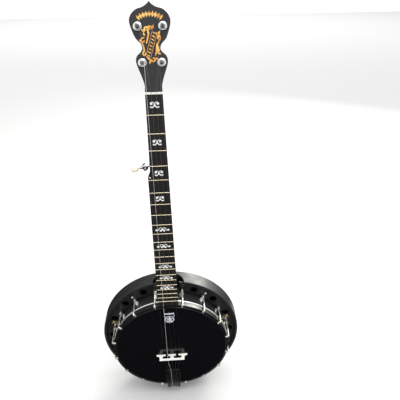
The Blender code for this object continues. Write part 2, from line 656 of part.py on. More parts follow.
def build_tailpiece(frames, materials):
    """Sloping plate over the head, and a leg that drops behind the hoop to the tail bolt."""
    pot = frames["pot"]
    slope = math.atan2(TAIL_FRONT_HEIGHT - TAIL_REAR_HEIGHT, TAIL_REAR - TAIL_FRONT)
    length = (TAIL_REAR - TAIL_FRONT) / math.cos(slope)
    front_half = 20 * MM
    rear_half = 17 * MM
    corners = [(-front_half, 0), (front_half, 0), (rear_half, -length), (-rear_half, -length)]
    plate = extruded(rounded(corners, [4 * MM] * 4), -TAIL_THICKNESS, 0)
    plate.transform(Matrix.Translation((0, -TAIL_FRONT, TAIL_FRONT_HEIGHT))
                    @ Matrix.Rotation(slope, 4, "X"))
    leg = box((-TAIL_LEG_HALF_WIDTH, -TAIL_REAR, TAIL_LEG_BACK),
              (TAIL_LEG_HALF_WIDTH, -TAIL_REAR + TAIL_THICKNESS, TAIL_REAR_HEIGHT - 1 * MM))
    tailpiece = place("tailpiece", joined("tailpiece", [plate, leg]), materials["black_metal"], pot)
    boolean(tailpiece, frames["rod_hole"], "DIFFERENCE")
    screw_room = turned([(0, 140 * MM), (2.4 * MM, 140 * MM), (2.4 * MM, 160 * MM), (0, 160 * MM)], 12)
    screw_hole = cutter("tail_screw_hole", screw_room, pot, (0, 0, TAIL_SCREW_HEIGHT),
                        (math.pi / 2, 0, 0))
    boolean(tailpiece, screw_hole, "DIFFERENCE")

    outside = TAIL_REAR + GAP
    bolt = [(0, RIM_INNER_RADIUS + 1 * MM), (3 * MM, RIM_INNER_RADIUS + 1 * MM), (3 * MM, outside),
            (5.2 * MM, outside), (5.2 * MM, outside + 4 * MM), (0, outside + 4 * MM)]
    place("tailpiece_bolt", mesh_from(turned(bolt, 12), "tailpiece_bolt"),
          materials["chrome"], pot, (0, 0, ROD_HEIGHT), (math.pi / 2, 0, 0))
    tip = HOOP_OUTER_RADIUS + GAP
    screw = [(0, tip), (2 * MM, tip), (2 * MM, outside), (4 * MM, outside),
             (4 * MM, outside + 3.8 * MM), (3.4 * MM, outside + 4.4 * MM), (0, outside + 4.4 * MM)]
    place("tailpiece_screw", mesh_from(turned(screw, 12), "tailpiece_screw"),
          materials["black_metal"], pot, (0, 0, TAIL_SCREW_HEIGHT), (math.pi / 2, 0, 0))


# ------------------------------------------------------------------ resonator
def build_resonator(frames, materials):
    pot = frames["pot"]
    corner = RESONATOR_CORNER
    wall_end = RESONATOR_FRONT - RESONATOR_WALL_DEPTH + corner
    arc = [(RESONATOR_RADIUS - corner + corner * math.cos(turn), wall_end - corner * math.sin(turn))
           for turn in (0, math.pi / 6, math.pi / 3, math.pi / 2)]
    chamfer = 0.8 * MM
    inside = RESONATOR_BACK + RESONATOR_THICKNESS
    inner_corner = 5 * MM
    profile = [
        (0, RESONATOR_BACK), (RESONATOR_FLAT_RADIUS, RESONATOR_BACK),
        (118 * MM, RESONATOR_BACK + 1.4 * MM),
        *reversed(arc),
        (RESONATOR_RADIUS, RESONATOR_FRONT - chamfer), (RESONATOR_RADIUS - chamfer, RESONATOR_FRONT),
        (RESONATOR_INNER_RADIUS, RESONATOR_FRONT), (RESONATOR_INNER_RADIUS, inside + 8.5 * MM),
        (RESONATOR_INNER_RADIUS - inner_corner, inside + 4 * MM), (RESONATOR_FLAT_RADIUS, inside),
        (0, inside),
    ]
    shell = place("resonator_shell", mesh_from(turned(profile, POT_SEGMENTS), "resonator_shell"),
                  materials["black_satin"], pot)
    mouth = -RESONATOR_FRONT - 12 * MM
    floor = -RESONATOR_FRONT + HEEL_NOTCH_DEPTH
    notch = rounded([(-HEEL_NOTCH_HALF_WIDTH, mouth), (HEEL_NOTCH_HALF_WIDTH, mouth),
                     (HEEL_NOTCH_HALF_WIDTH, floor), (-HEEL_NOTCH_HALF_WIDTH, floor)],
                    [0, 0, HEEL_NOTCH_CORNER, HEEL_NOTCH_CORNER], steps=6)
    notch_block = extruded(notch, 150 * MM, 190 * MM)
    boolean(shell, cutter("heel_notch", notch_block, pot, rotation=(-math.pi / 2, 0, 0)), "DIFFERENCE")

    flange_outer = RESONATOR_INNER_RADIUS - GAP
    flange_back = FLANGE_FRONT - FLANGE_THICKNESS
    ring = turned([(FLANGE_INNER_RADIUS, flange_back), (flange_outer, flange_back),
                   (flange_outer, FLANGE_FRONT), (FLANGE_INNER_RADIUS, FLANGE_FRONT)],
                  POT_SEGMENTS, ring=True)
    flange = place("resonator_flange", mesh_from(ring, "resonator_flange"),
                   materials["black_metal"], pot)
    slot = box((-FLANGE_SLOT_HALF_WIDTH, 120 * MM, flange_back - 5 * MM),
               (FLANGE_SLOT_HALF_WIDTH, 180 * MM, FLANGE_FRONT + 5 * MM))
    boolean(flange, cutter("flange_slot", slot, pot), "DIFFERENCE")
    holes = bmesh.new()
    wells = [(angle, SOUND_HOLE_PLACE, SOUND_HOLE_RADIUS, 14) for angle in SOUND_HOLE_ANGLES]
    wells += [(angle, THUMBSCREW_PLACE, THUMBSCREW_HOLE_RADIUS, 8) for angle in THUMBSCREW_ANGLES]
    for angle, radius, size, sides in wells:
        turn = Matrix.Rotation(-math.radians(angle), 4, "Z")
        shift = Matrix.Translation((0, radius, FLANGE_FRONT - FLANGE_THICKNESS / 2))
        bmesh.ops.create_cone(holes, cap_ends=True, segments=sides, radius1=size, radius2=size,
                              depth=3 * FLANGE_THICKNESS, matrix=turn @ shift)
    boolean(flange, cutter("flange_holes", holes, pot), "DIFFERENCE")


def build_resonator_fittings(frames, materials):
    """Angle brackets on the rim, and the thumbscrews that hold the resonator to them."""
    pot = frames["pot"]
    base = RIM_OUTER_RADIUS + GAP
    plate_back = FLANGE_FRONT + GAP
    plate_front = plate_back + BRACKET_THICKNESS
    leg_front = -10 * MM
    side_view = [(base, leg_front), (base, plate_back), (BRACKET_REACH, plate_back),
                 (BRACKET_REACH, plate_front), (base + BRACKET_THICKNESS, plate_front),
                 (base + BRACKET_THICKNESS, leg_front)]
    angle_plate = upright(extruded(side_view, -BRACKET_HALF_WIDTH, BRACKET_HALF_WIDTH))
    plate_mesh = mesh_from(angle_plate, "resonator_bracket")

    head_back = plate_front + GAP
    head_front = head_back + 5 * MM
    shank = THUMBSCREW_HOLE_RADIUS - 0.4 * MM
    screw_profile = [(0, FLANGE_FRONT - 8 * MM), (shank, FLANGE_FRONT - 8 * MM), (shank, head_back),
                     (5 * MM, head_back), (5.5 * MM, head_back + 0.8 * MM),
                     (5.5 * MM, head_front - 0.8 * MM), (4.6 * MM, head_front), (0, head_front)]
    screw_mesh = mesh_from(turned(screw_profile, 12), "thumbscrew")

    for number, angle in enumerate(THUMBSCREW_ANGLES, start=1):
        plate = place(f"resonator_bracket_{number}", plate_mesh, materials["brass"], pot,
                      rotation=around(angle))
        turn = math.radians(angle)
        spot = (THUMBSCREW_PLACE * math.sin(turn), THUMBSCREW_PLACE * math.cos(turn), 0)
        bore = turned([(0, -40 * MM), (THUMBSCREW_HOLE_RADIUS, -40 * MM),
                       (THUMBSCREW_HOLE_RADIUS, -15 * MM), (0, -15 * MM)], 12)
        boolean(plate, cutter(f"thumbscrew_hole_{number}", bore, pot, spot), "DIFFERENCE")
        place(f"thumbscrew_{number}", screw_mesh, materials["chrome"], pot, spot)


# ------------------------------------------------------------------ strings
def string_route(number, frames):
    """World points of one string, from its tuner post over the nut and bridge to the tail."""
    radius = STRING_DIAMETERS[number - 1] * MM / 2
    lift = GAP + radius
    neck = frames["neck"].matrix_world
    pot = frames["pot"].matrix_world
    if number == 5:
        post_side = -FIFTH_TUNER_SIDE + FIFTH_POST_RADIUS + lift
        start = neck @ Vector((post_side, -3.7 * MM, -FIFTH_TUNER_DROP))
        over_nut = neck @ Vector((-FIFTH_NUT_SIDE, -FIFTH_NUT_RISE - lift, -FIFTH_NUT_DROP))
    else:
        side, height = TUNER_PLACES[number]
        inward = -math.copysign(1, side)
        post_side = side * MM + inward * (TUNER_POST_RADIUS + lift)
        start = frames["headstock"].matrix_world @ Vector((post_side, -TUNER_STRING_HEIGHT, height * MM))
        nut_side = (2.5 - number) * NUT_STRING_SPACING
        over_nut = neck @ Vector((nut_side, -NUT_RISE - lift, (NUT_BOTTOM + NUT_TOP) / 2))
    rank = 3 - number
    bridge_top = HEAD_HEIGHT + GAP + BRIDGE_HEIGHT
    over_bridge = pot @ Vector((rank * BRIDGE_STRING_SPACING, -BRIDGE_DROP, bridge_top + lift))
    on_tail = pot @ Vector((rank * TAIL_FRONT_STRING_SPACING, -TAIL_FRONT, TAIL_FRONT_HEIGHT + lift))
    at_end = pot @ Vector((rank * TAIL_REAR_STRING_SPACING, -TAIL_REAR, TAIL_REAR_HEIGHT + lift))
    return [start, over_nut, over_bridge, on_tail, at_end]


def build_strings(frames, materials):
    bpy.context.view_layer.update()
    for number in range(1, 6):
        curve = bpy.data.curves.new(f"string_{number}", "CURVE")
        curve.dimensions = "3D"
        curve.bevel_depth = STRING_DIAMETERS[number - 1] * MM / 2
        curve.bevel_resolution = 1
        curve.use_fill_caps = True
        route = string_route(number, frames)
        line = curve.splines.new("POLY")
        line.points.add(len(route) - 1)
        for point, spot in zip(line.points, route):
            point.co = (*spot, 1.0)
        curve.materials.append(materials["steel_string"])
        item = bpy.data.objects.new(f"string_{number}", curve)
        bpy.context.scene.collection.objects.link(item)


# ------------------------------------------------------------------ assembly
def make_frames():
    neck_turn = Matrix.Rotation(-NECK_PITCH, 4, "X")
    neck = make_frame("neck_frame", None, neck_turn @ Vector((0, -NECK_DEPTH_AT_NUT, 0)),
                      (-NECK_PITCH, 0, 0))
    headstock = make_frame("headstock_frame", neck, HEADSTOCK_ORIGIN, (-HEADSTOCK_TILT, 0, 0))
    fifth = make_frame("fifth_tuner_frame", neck,
                       (-FIFTH_TUNER_SIDE, FIFTH_TUNER_DEPTH, -FIFTH_TUNER_DROP),
                       (0, -FIFTH_TUNER_TURN, 0))
    pot = make_frame("pot_frame", None, (0, 0, -POT_DROP), (math.pi / 2, 0, 0))
    rod_hole = turned([(0, -165 * MM), (ROD_HOLE_RADIUS, -165 * MM),
                       (ROD_HOLE_RADIUS, 156 * MM), (0, 156 * MM)], 12)
    tunnel = cutter("rod_hole", rod_hole, pot, (0, 0, ROD_HEIGHT), (-math.pi / 2, 0, 0))
    return {"neck": neck, "headstock": headstock, "fifth_tuner": fifth, "pot": pot,
            "rod_hole": tunnel}


def main():
    clear_scene()
    materials = make_materials()
    frames = make_frames()
    build_neck(frames, materials)
    build_fretboard(frames, materials)
    build_nuts(frames, materials)
    build_tuners(frames, materials)
    build_fifth_tuner(frames, materials)
    build_pot_rings(frames, materials)
    build_brackets(frames, materials)
    build_coordinator_rod(frames, materials)
    build_bridge(frames, materials)
    build_tailpiece(frames, materials)
    build_resonator(frames, materials)
    build_resonator_fittings(frames, materials)
    build_strings(frames, materials)
    bpy.context.view_layer.update()


main()
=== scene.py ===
"""Looks of a five-string resonator banjo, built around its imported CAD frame.

World units are metres. Pieces are drawn in millimetres in four drawing frames, each with +X to
the right, +Y up the instrument and +Z out of the face towards the player:
  BOARD   origin on the fretboard surface at the nut line
  FACE    origin where the headstock face begins
  FIFTH   origin on the post axis of the fifth-string tuner, level with its shank
  POT     origin on the pot's axis, level with the back of the neck at the nut line
"""
import math

import bmesh
import bpy
from mathutils import Matrix, Vector


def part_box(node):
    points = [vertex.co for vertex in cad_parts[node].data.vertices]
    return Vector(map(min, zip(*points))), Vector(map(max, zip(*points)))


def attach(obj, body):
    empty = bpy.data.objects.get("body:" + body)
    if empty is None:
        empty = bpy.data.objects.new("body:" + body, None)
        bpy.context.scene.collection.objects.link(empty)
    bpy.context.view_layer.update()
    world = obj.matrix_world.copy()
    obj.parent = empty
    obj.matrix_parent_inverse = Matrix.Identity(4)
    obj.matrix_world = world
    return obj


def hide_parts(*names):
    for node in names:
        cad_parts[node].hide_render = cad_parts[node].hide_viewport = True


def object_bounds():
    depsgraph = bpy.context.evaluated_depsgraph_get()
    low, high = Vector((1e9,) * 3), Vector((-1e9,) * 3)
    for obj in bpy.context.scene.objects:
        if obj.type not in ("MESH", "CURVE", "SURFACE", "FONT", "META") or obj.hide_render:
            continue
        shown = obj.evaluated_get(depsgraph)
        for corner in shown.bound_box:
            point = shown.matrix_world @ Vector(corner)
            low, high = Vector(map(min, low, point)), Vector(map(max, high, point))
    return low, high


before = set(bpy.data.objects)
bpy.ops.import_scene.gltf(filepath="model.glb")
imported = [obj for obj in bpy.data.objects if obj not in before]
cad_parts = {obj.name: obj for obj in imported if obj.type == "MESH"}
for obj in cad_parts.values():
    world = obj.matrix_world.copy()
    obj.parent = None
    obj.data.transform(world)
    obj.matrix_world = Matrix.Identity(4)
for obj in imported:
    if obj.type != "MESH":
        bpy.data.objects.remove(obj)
cad_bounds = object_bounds()

MM = 0.001
LARGE_ROUND = 192                   # segments of the pot and resonator rings
SMALL_ROUND = 40                    # segments of tuners and screws
BROAD_FACE = 1e-4                   # square metres
CREASE = 38                         # degrees between faces that makes an edge sharp
BROAD_CREASE = 5                    # the same beside a broad face

# ------------------------------------------------------------------ driving dimensions (mm)
SCALE_LENGTH = 666.75
FRET_COUNT = 22
NECK_DEPTH_AT_NUT = 20
NECK_TILT = -1.5                    # degrees
NECK_DEPTH_AT_HEEL = 23.6
NUT_HALF_WIDTH = 15.6
EDGE_SPREAD = 0.016                 # how fast each edge leaves the centre line
SHOULDER_HALF_WIDTH = 22
SHOULDER_SPREAD = 0.0045
SHOULDER_START = 147
SHOULDER_END = 163
BOARD_THICKNESS = 5.8               # down to the neck's flat front
BOARD_LENGTH = 487.7
HEEL_START = 405
HEEL_FULL = 482
HEEL_DEPTH = 80
HEEL_CAP_DEPTH = 76
NECK_TOP = 10
NECK_TOP_DEPTH = 17
NECK_BOTTOM = 508
HEADSTOCK_THICKNESS = 14
HEADSTOCK_TILT = -13                # degrees from the neck
FACE_START = (0, 3, 4)              # in the neck's frame
TUNER_HOLE_RADIUS = 5.3
TUNER_PLACES = {1: (16.8, 48.7), 2: (21.5, 107.5), 3: (-21.5, 107.5), 4: (-16.8, 48.7)}
TUNER_POST_RADIUS = 3.17
TUNER_STRING_HEIGHT = 8
FIFTH_TUNER_SIDE = 26.7
FIFTH_TUNER_DROP = 141.5
FIFTH_TUNER_DEPTH = 11
FIFTH_TUNER_TILT = -15              # degrees
FIFTH_HOLE_RADIUS = 3.3
FIFTH_POST_RADIUS = 2.2
FIFTH_NUT_SIDE = 18.6
FIFTH_NUT_DROP = 161
FIFTH_NUT_RISE = 2.0
NUT_RISE = 1.3
NUT_BOTTOM = 0.4
NUT_TOP = 3.4
NUT_SPACING = 8.4
BRIDGE_SPACING = 10.5
TAIL_FRONT_SPACING = 5.0
TAIL_REAR_SPACING = 4.0
STRING_RADII = (0.13, 0.15, 0.18, 0.29, 0.13)
STRING_LIFT = 0.3                   # clear of what it crosses, as in the CAD
RIM_INNER_RADIUS = 126
TONE_RING_WIDTH = 7.6
HEAD_THICKNESS = 0.35
FILM_SKIRT_END = 9.5                # the film turns down and ends behind the flesh hoop
FLESH_HOOP_FRONT = 11.7
HOOP_INNER_RADIUS = 139.7
HOOK_RADIUS = 149.2
HOOK_SHAFT_RADIUS = 1.7
HOOK_ANGLES = [13 + 22 * step for step in range(8)] + [193 + 22 * step for step in range(8)]
ROD_HEIGHT = -12
ROD_HOLE_RADIUS = 3.4
BRIDGE_DROP = 26
BRIDGE_HEIGHT = 16.6
TAIL_FRONT = 72
TAIL_REAR = 153
TAIL_FRONT_HEIGHT = 37.5
TAIL_REAR_HEIGHT = 30
TAIL_THICKNESS = 2.5
TAIL_SCREW_HEIGHT = 18.5
RESONATOR_INNER_RADIUS = 170
RESONATOR_WALL_DEPTH = 40
RESONATOR_THICKNESS = 4.5           # of the back
HEEL_NOTCH_HALF_WIDTH = 39
HEEL_NOTCH_DEPTH = 31
HEEL_NOTCH_CORNER = 28
FLANGE_INNER_RADIUS = 141
FLANGE_SLOT_HALF_WIDTH = 27
SOUND_HOLE_ANGLES = [24 + 22 * step for step in range(7)] + [204 + 22 * step for step in range(7)]
SOUND_HOLE_PLACE = 154
SOUND_HOLE_RADIUS = 9
THUMBSCREW_ANGLES = (73.5, 139.5, 220.5, 286.5)
THUMBSCREW_PLACE = 151.5
THUMBSCREW_HOLE_RADIUS = 2.4
ANGLE_PLATE_THICKNESS = 1.8
FLANGE_SCREW_ANGLES = (36, 144, 216, 324)
FLANGE_SCREW_PLACE = 156.5


def ring_span(node):
    """Outer radius, back height and front height in POT of a round CAD node, in millimetres."""
    low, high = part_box(node)
    return (high[0] - low[0]) / 2 / MM, -high[1] / MM, -low[1] / MM


RIM_RADIUS, RIM_BACK, RIM_FRONT = ring_span("rim")
TONE_RADIUS, TONE_BACK, TONE_FRONT = ring_span("tone_ring")
FILM_RADIUS, FILM_UNDERSIDE, FILM_FRONT = ring_span("drum_head")
FLESH_RADIUS, FLESH_BACK, _ = ring_span("flesh_hoop")
HOOP_RADIUS, HOOP_BACK, HOOP_FRONT = ring_span("tension_hoop")
SHELL_RADIUS, SHELL_BACK, SHELL_FRONT = ring_span("resonator_shell")
FLANGE_RADIUS, FLANGE_BACK, FLANGE_FRONT = ring_span("resonator_flange")
POT_DROP = -(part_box("rim")[0][2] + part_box("rim")[1][2]) / 2 / MM


def rotation(axis, degrees):
    return Matrix.Rotation(math.radians(degrees), 4, axis)


def shift(x, y, z):
    return Matrix.Translation((x, y, z))


METRES = Matrix.Scale(MM, 4)
WORLD = Matrix.Identity(4)
OUT_OF_FACE = rotation("X", 90)
NECK = METRES @ rotation("X", NECK_TILT) @ shift(0, -NECK_DEPTH_AT_NUT, 0)
BOARD = NECK @ OUT_OF_FACE
FACE = NECK @ shift(*FACE_START) @ rotation("X", HEADSTOCK_TILT) @ OUT_OF_FACE
FIFTH = (NECK @ shift(-FIFTH_TUNER_SIDE, FIFTH_TUNER_DEPTH, -FIFTH_TUNER_DROP)
         @ rotation("Y", FIFTH_TUNER_TILT) @ OUT_OF_FACE)
POT = METRES @ shift(0, 0, -POT_DROP) @ OUT_OF_FACE
# where the +Z of a turned or raised shape goes
ALONG_X = rotation("Y", 90)
DOWN = rotation("X", 90)
UP = rotation("X", -90)
# the same for an outline: its x and y go to y and z, or to x and z
SIDE_ON = Matrix(((0, 0, 1, 0), (1, 0, 0, 0), (0, 1, 0, 0), (0, 0, 0, 1)))
STANDING = Matrix(((1, 0, 0, 0), (0, 0, 1, 0), (0, 1, 0, 0), (0, 0, 0, 1)))


# ------------------------------------------------------------------ mesh tools
def turned(profile, segments=LARGE_ROUND, ring=False):
    """Spin (radius, height) points about Z; a ring's profile closes on itself."""
    bm = bmesh.new()
    points = [bm.verts.new((radius, 0.0, height)) for radius, height in profile]
    lines = [bm.edges.new(pair) for pair in zip(points, points[1:])]
    if ring:
        lines.append(bm.edges.new((points[-1], points[0])))
    bmesh.ops.spin(bm, geom=points + lines, cent=(0, 0, 0), axis=(0, 0, 1),
                   angle=math.tau, steps=segments, use_merge=True, use_duplicate=False)
    bmesh.ops.remove_doubles(bm, verts=bm.verts[:], dist=1e-4)
    bmesh.ops.recalc_face_normals(bm, faces=bm.faces[:])
    return bm


def arc(centre, radius, start, end, steps):
    """Points on an arc, angles in degrees."""
    points = []
    for step in range(steps + 1):
        turn = math.radians(start + (end - start) * step / steps)
        points.append((centre[0] + radius * math.cos(turn), centre[1] + radius * math.sin(turn)))
    return points


def circle(radius, steps=SMALL_ROUND, centre=(0, 0)):
    return arc(centre, radius, 0, 360, steps)[:-1]


def rod(radius, low, high, segments):
    return turned([(0, low), (radius, low), (radius, high), (0, high)], segments)


def other_side(points):
    """The points mirrored in x and in reverse order, to close an outline with them."""
    return [(-x, y) for x, y in reversed(points)]


def soft_ring(inner, outer, back, front, edge, steps=3):
    """Turned ring of rectangular section with rounded edges."""
    profile = arc((inner + edge, back + edge), edge, 180, 270, steps)
    profile += arc((outer - edge, back + edge), edge, 270, 360, steps)
    profile += arc((outer - edge, front - edge), edge, 0, 90, steps)
    profile += arc((inner + edge, front - edge), edge, 90, 180, steps)
    return turned(profile, ring=True)


def inset_outline(outline, distance):
    """The closed outline moved inwards, for an outline that runs anticlockwise."""
    moved = []
    count = len(outline)
    for index, point in enumerate(outline):
        before = (Vector(point) - Vector(outline[index - 1])).normalized()
        after = (Vector(outline[(index + 1) % count]) - Vector(point)).normalized()
        inward = Vector((-before.y - after.y, before.x + after.x))
        stretch = max(inward.length_squared / 2, 0.5)
        moved.append(tuple(Vector(point) + inward / stretch * distance))
    return moved


def prism(outline, low, high, edge=0.0, steps=2):
    """Closed (x, y) outline raised from low to high along Z, with rounded upper and lower rims."""
    area = sum(a[0] * b[1] - b[0] * a[1] for a, b in zip(outline, outline[1:] + outline[:1]))
    if area < 0:
        outline = list(reversed(outline))
    layers = [(0.0, low), (0.0, high)]
    if edge:
        turns = [math.pi / 2 * step / steps for step in range(steps + 1)]
        rise = [(edge * (1 - math.sin(turn)), edge * (1 - math.cos(turn))) for turn in turns]
        layers = [(inset, low + up) for inset, up in rise]
        layers += [(inset, high - up) for inset, up in reversed(rise)]
    bm = bmesh.new()
    loops = []
    for inset, height in layers:
        shape = inset_outline(outline, inset) if inset else outline
        loops.append([bm.verts.new((x, y, height)) for x, y in shape])
    for lower, upper in zip(loops, loops[1:]):
        for index in range(len(outline)):
            bm.faces.new((lower[index - 1], lower[index], upper[index], upper[index - 1]))
    bm.faces.new(list(reversed(loops[0])))
    bm.faces.new(loops[-1])
    return bm


def block(low, high, edge=0.3):
    outline = [(low[0], low[1]), (high[0], low[1]), (high[0], high[1]), (low[0], high[1])]
    return prism(outline, low[2], high[2], edge)


def tube(path, radii, sides=12, across=(1, 0, 0)):
    """Closed tube along a path; radii is one radius, or one (across, through) pair a point."""
    if not isinstance(radii, (list, tuple)):
        radii = [(radii, radii)] * len(path)
    bm = bmesh.new()
    rings = []
    points = [Vector(point) for point in path]
    for index, (point, (wide, deep)) in enumerate(zip(points, radii)):
        tangent = (points[min(index + 1, len(points) - 1)] - points[max(index - 1, 0)]).normalized()
        side = Vector(across)
        side = (side - tangent * side.dot(tangent)).normalized()
        through = tangent.cross(side)
        ring = []
        for step in range(sides):
            turn = math.tau * step / sides
            ring.append(bm.verts.new(point + side * wide * math.cos(turn) + through * deep * math.sin(turn)))
        rings.append(ring)
    for lower, upper in zip(rings, rings[1:]):
        for index in range(sides):
            bm.faces.new((lower[index - 1], lower[index], upper[index], upper[index - 1]))
    bm.faces.new(list(reversed(rings[0])))
    bm.faces.new(rings[-1])
    return bm


def merged(*parts):
    """Several closed shapes in one mesh."""
    whole = bmesh.new()
    for part in parts:
        mesh = bpy.data.meshes.new("part")
        part.to_mesh(mesh)
        part.free()
        whole.from_mesh(mesh)
        bpy.data.meshes.remove(mesh)
    return whole


def moved(bm, *steps):
    """Apply transforms to a shape, the last one named first."""
    matrix = Matrix.Identity(4)
    for step in steps:
        matrix = matrix @ (step if isinstance(step, Matrix) else shift(*step))
    bm.transform(matrix)
    return bm


def combined(base, tool, operation):
    """Boolean of two shapes, which are used up."""
    holders = []
    for bm in (base, tool):
        bmesh.ops.recalc_face_normals(bm, faces=bm.faces[:])
        mesh = bpy.data.meshes.new("operand")
        bm.to_mesh(mesh)
        bm.free()
        holder = bpy.data.objects.new("operand", mesh)
        bpy.context.scene.collection.objects.link(holder)
        holders.append(holder)
    modifier = holders[0].modifiers.new("cut", "BOOLEAN")
    modifier.operation = operation
    modifier.solver = "EXACT"
    modifier.object = holders[1]
    graph = bpy.context.evaluated_depsgraph_get()
    result = bmesh.new()
    result.from_object(holders[0], graph)
    for holder in holders:
        mesh = holder.data
        bpy.data.objects.remove(holder, do_unlink=True)
        bpy.data.meshes.remove(mesh)
    return result


def cut(base, tool):
    return combined(base, tool, "DIFFERENCE")


def smooth_curve(points, steps):
    """Points along a Catmull-Rom curve through the given points."""
    curve = []
    for index in range(len(points) - 1):
        before = Vector(points[max(index - 1, 0)])
        start = Vector(points[index])
        end = Vector(points[index + 1])
        after = Vector(points[min(index + 2, len(points) - 1)])
        for step in range(steps):
            t = step / steps
            bend = (2 * start + (end - before) * t + (2 * before - 5 * start + 4 * end - after) * t ** 2
                    + (3 * start - before - 3 * end + after) * t ** 3)
            curve.append(tuple(bend / 2))
    curve.append(tuple(points[-1]))
    return curve


def mark_creases(bm):
    """Shade smoothly across all but the sharp edges, and keep broad flat faces flat."""
    broad = {face for face in bm.faces if face.calc_area() > BROAD_FACE}
    for face in bm.faces:
        face.smooth = True
    for edge in bm.edges:
        beside_broad = any(face in broad for face in edge.link_faces)
        limit = BROAD_CREASE if beside_broad else CREASE
        edge.smooth = edge.calc_face_angle(0) < math.radians(limit)


def even_normals(item):
    """Let broad faces set the shading, so that the rounded edges beside them blend in."""
    modifier = item.modifiers.new("even_normals", "WEIGHTED_NORMAL")
    modifier.keep_sharp = True
    graph = bpy.context.evaluated_depsgraph_get()
    shaded = bpy.data.meshes.new_from_object(item.evaluated_get(graph))
    plain = item.data
    item.modifiers.clear()
    item.data = shaded
    bpy.data.meshes.remove(plain)
    shaded.name = item.name


def piece(name, bm, place, finish, replaced=None, body="banjo"):
    """Turn a shape into an object that rides on a body and may stand for a CAD node."""
    material, slot = finish
    bm.transform(place)
    bmesh.ops.recalc_face_normals(bm, faces=bm.faces[:])
    mark_creases(bm)
    mesh = bpy.data.meshes.new(name)
    bm.to_mesh(mesh)
    bm.free()
    mesh.materials.append(material)
    item = bpy.data.objects.new(name, mesh)
    bpy.context.scene.collection.objects.link(item)
    even_normals(item)
    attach(item, body)
    if replaced:
        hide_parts(replaced)


# ------------------------------------------------------------------ materials
def new_material(name, colour, roughness, metallic=0.0):
    material = bpy.data.materials.new(name)
    material.use_nodes = True
    shader = material.node_tree.nodes["Principled BSDF"]
    shader.inputs["Base Color"].default_value = (*colour, 1.0)
    shader.inputs["Roughness"].default_value = roughness
    shader.inputs["Metallic"].default_value = metallic
    return material, material.node_tree, shader


def noise_field(tree, per_metre, detail=3.0):
    """Noise whose grain is 1 / per_metre along each axis of the piece."""
    place = tree.nodes.new("ShaderNodeTexCoord")
    scaling = tree.nodes.new("ShaderNodeMapping")
    scaling.inputs["Scale"].default_value = per_metre
    noise = tree.nodes.new("ShaderNodeTexNoise")
    noise.inputs["Scale"].default_value = 1.0
    noise.inputs["Detail"].default_value = detail
    tree.links.new(place.outputs["Object"], scaling.inputs["Vector"])
    tree.links.new(scaling.outputs["Vector"], noise.inputs["Vector"])
    return noise.outputs["Fac"]


def colour_by(tree, shader, field, dark, light, low=0.3, high=0.7):
    ramp = tree.nodes.new("ShaderNodeValToRGB")
    ramp.color_ramp.elements[0].position = low
    ramp.color_ramp.elements[0].color = (*dark, 1.0)
    ramp.color_ramp.elements[1].position = high
    ramp.color_ramp.elements[1].color = (*light, 1.0)
    tree.links.new(field, ramp.inputs["Fac"])
    tree.links.new(ramp.outputs["Color"], shader.inputs["Base Color"])
    return ramp


def roughness_by(tree, shader, field, low, high):
    spread = tree.nodes.new("ShaderNodeMapRange")
    spread.inputs["From Min"].default_value = 0.3
    spread.inputs["From Max"].default_value = 0.7
    spread.inputs["To Min"].default_value = low
    spread.inputs["To Max"].default_value = high
    tree.links.new(field, spread.inputs["Value"])
    tree.links.new(spread.outputs["Result"], shader.inputs["Roughness"])


def bump_by(tree, shader, field, depth_mm, strength=1.0):
    bump = tree.nodes.new("ShaderNodeBump")
    bump.inputs["Strength"].default_value = strength
    bump.inputs["Distance"].default_value = depth_mm * MM
    tree.links.new(field, bump.inputs["Height"])
    tree.links.new(bump.outputs["Normal"], shader.inputs["Normal"])


def grained(name, colour, roughness, grain, shades, rough, bump=None, ends=(0.3, 0.7), metallic=0.0,
            rough_grain=None, specular=0.5, subsurface=0.0):
    """Material whose grain drives its colour, its bump and, without a grain of its own, its roughness."""
    material, tree, shader = new_material(name, colour, roughness, metallic)
    field = noise_field(tree, *grain)
    colour_by(tree, shader, field, *shades, *ends)
    roughness_by(tree, shader, noise_field(tree, rough_grain) if rough_grain else field, *rough)
    if bump:
        bump_by(tree, shader, field, *bump)
    shader.inputs["Specular IOR Level"].default_value = specular
    shader.inputs["Subsurface Weight"].default_value = subsurface
    return material


def even(value):
    """The same value on all three channels or axes."""
    return (value, value, value)


def satin_lacquer():
    """Black stain and satin lacquer, with a little of the grain telegraphing through."""
    return grained("satin_black_lacquer", (0.014, 0.014, 0.015), 0.4, ((420, 420, 22), 4),
                   ((0.010, 0.010, 0.011), (0.020, 0.020, 0.021)), (0.36, 0.46), (0.03, 0.5),
                   rough_grain=even(60), specular=0.6)


def ebony():
    return grained("dark_fretboard_wood", (0.012, 0.011, 0.011), 0.42, ((900, 900, 30), 5),
                   ((0.007, 0.006, 0.006), (0.024, 0.021, 0.020)), (0.5, 0.36), (0.05, 0.6), (0.35, 0.75))


def head_film():
    material, tree, shader = new_material("gloss_black_film", (0.004, 0.004, 0.005), 0.05)
    roughness_by(tree, shader, noise_field(tree, even(35), 5), 0.03, 0.08)
    bump_by(tree, shader, noise_field(tree, even(14), 1), 0.02, 0.4)
    return material


def metal(name, colour, rough_low, rough_high, per_metre=even(250), depth_mm=0.004, metallic=1.0):
    """Plated metal with faint polishing marks."""
    shade = tuple(channel * 0.88 for channel in colour)
    return grained(name, colour, rough_low, (per_metre, 4), (shade, colour), (rough_low, rough_high),
                   (depth_mm, 0.4), metallic=metallic)


def powder_coat():
    return grained("satin_black_coating", even(0.014), 0.34, (even(1500), 2), (even(0.010), even(0.018)),
                   (0.28, 0.38), (0.01, 0.4), rough_grain=even(80))


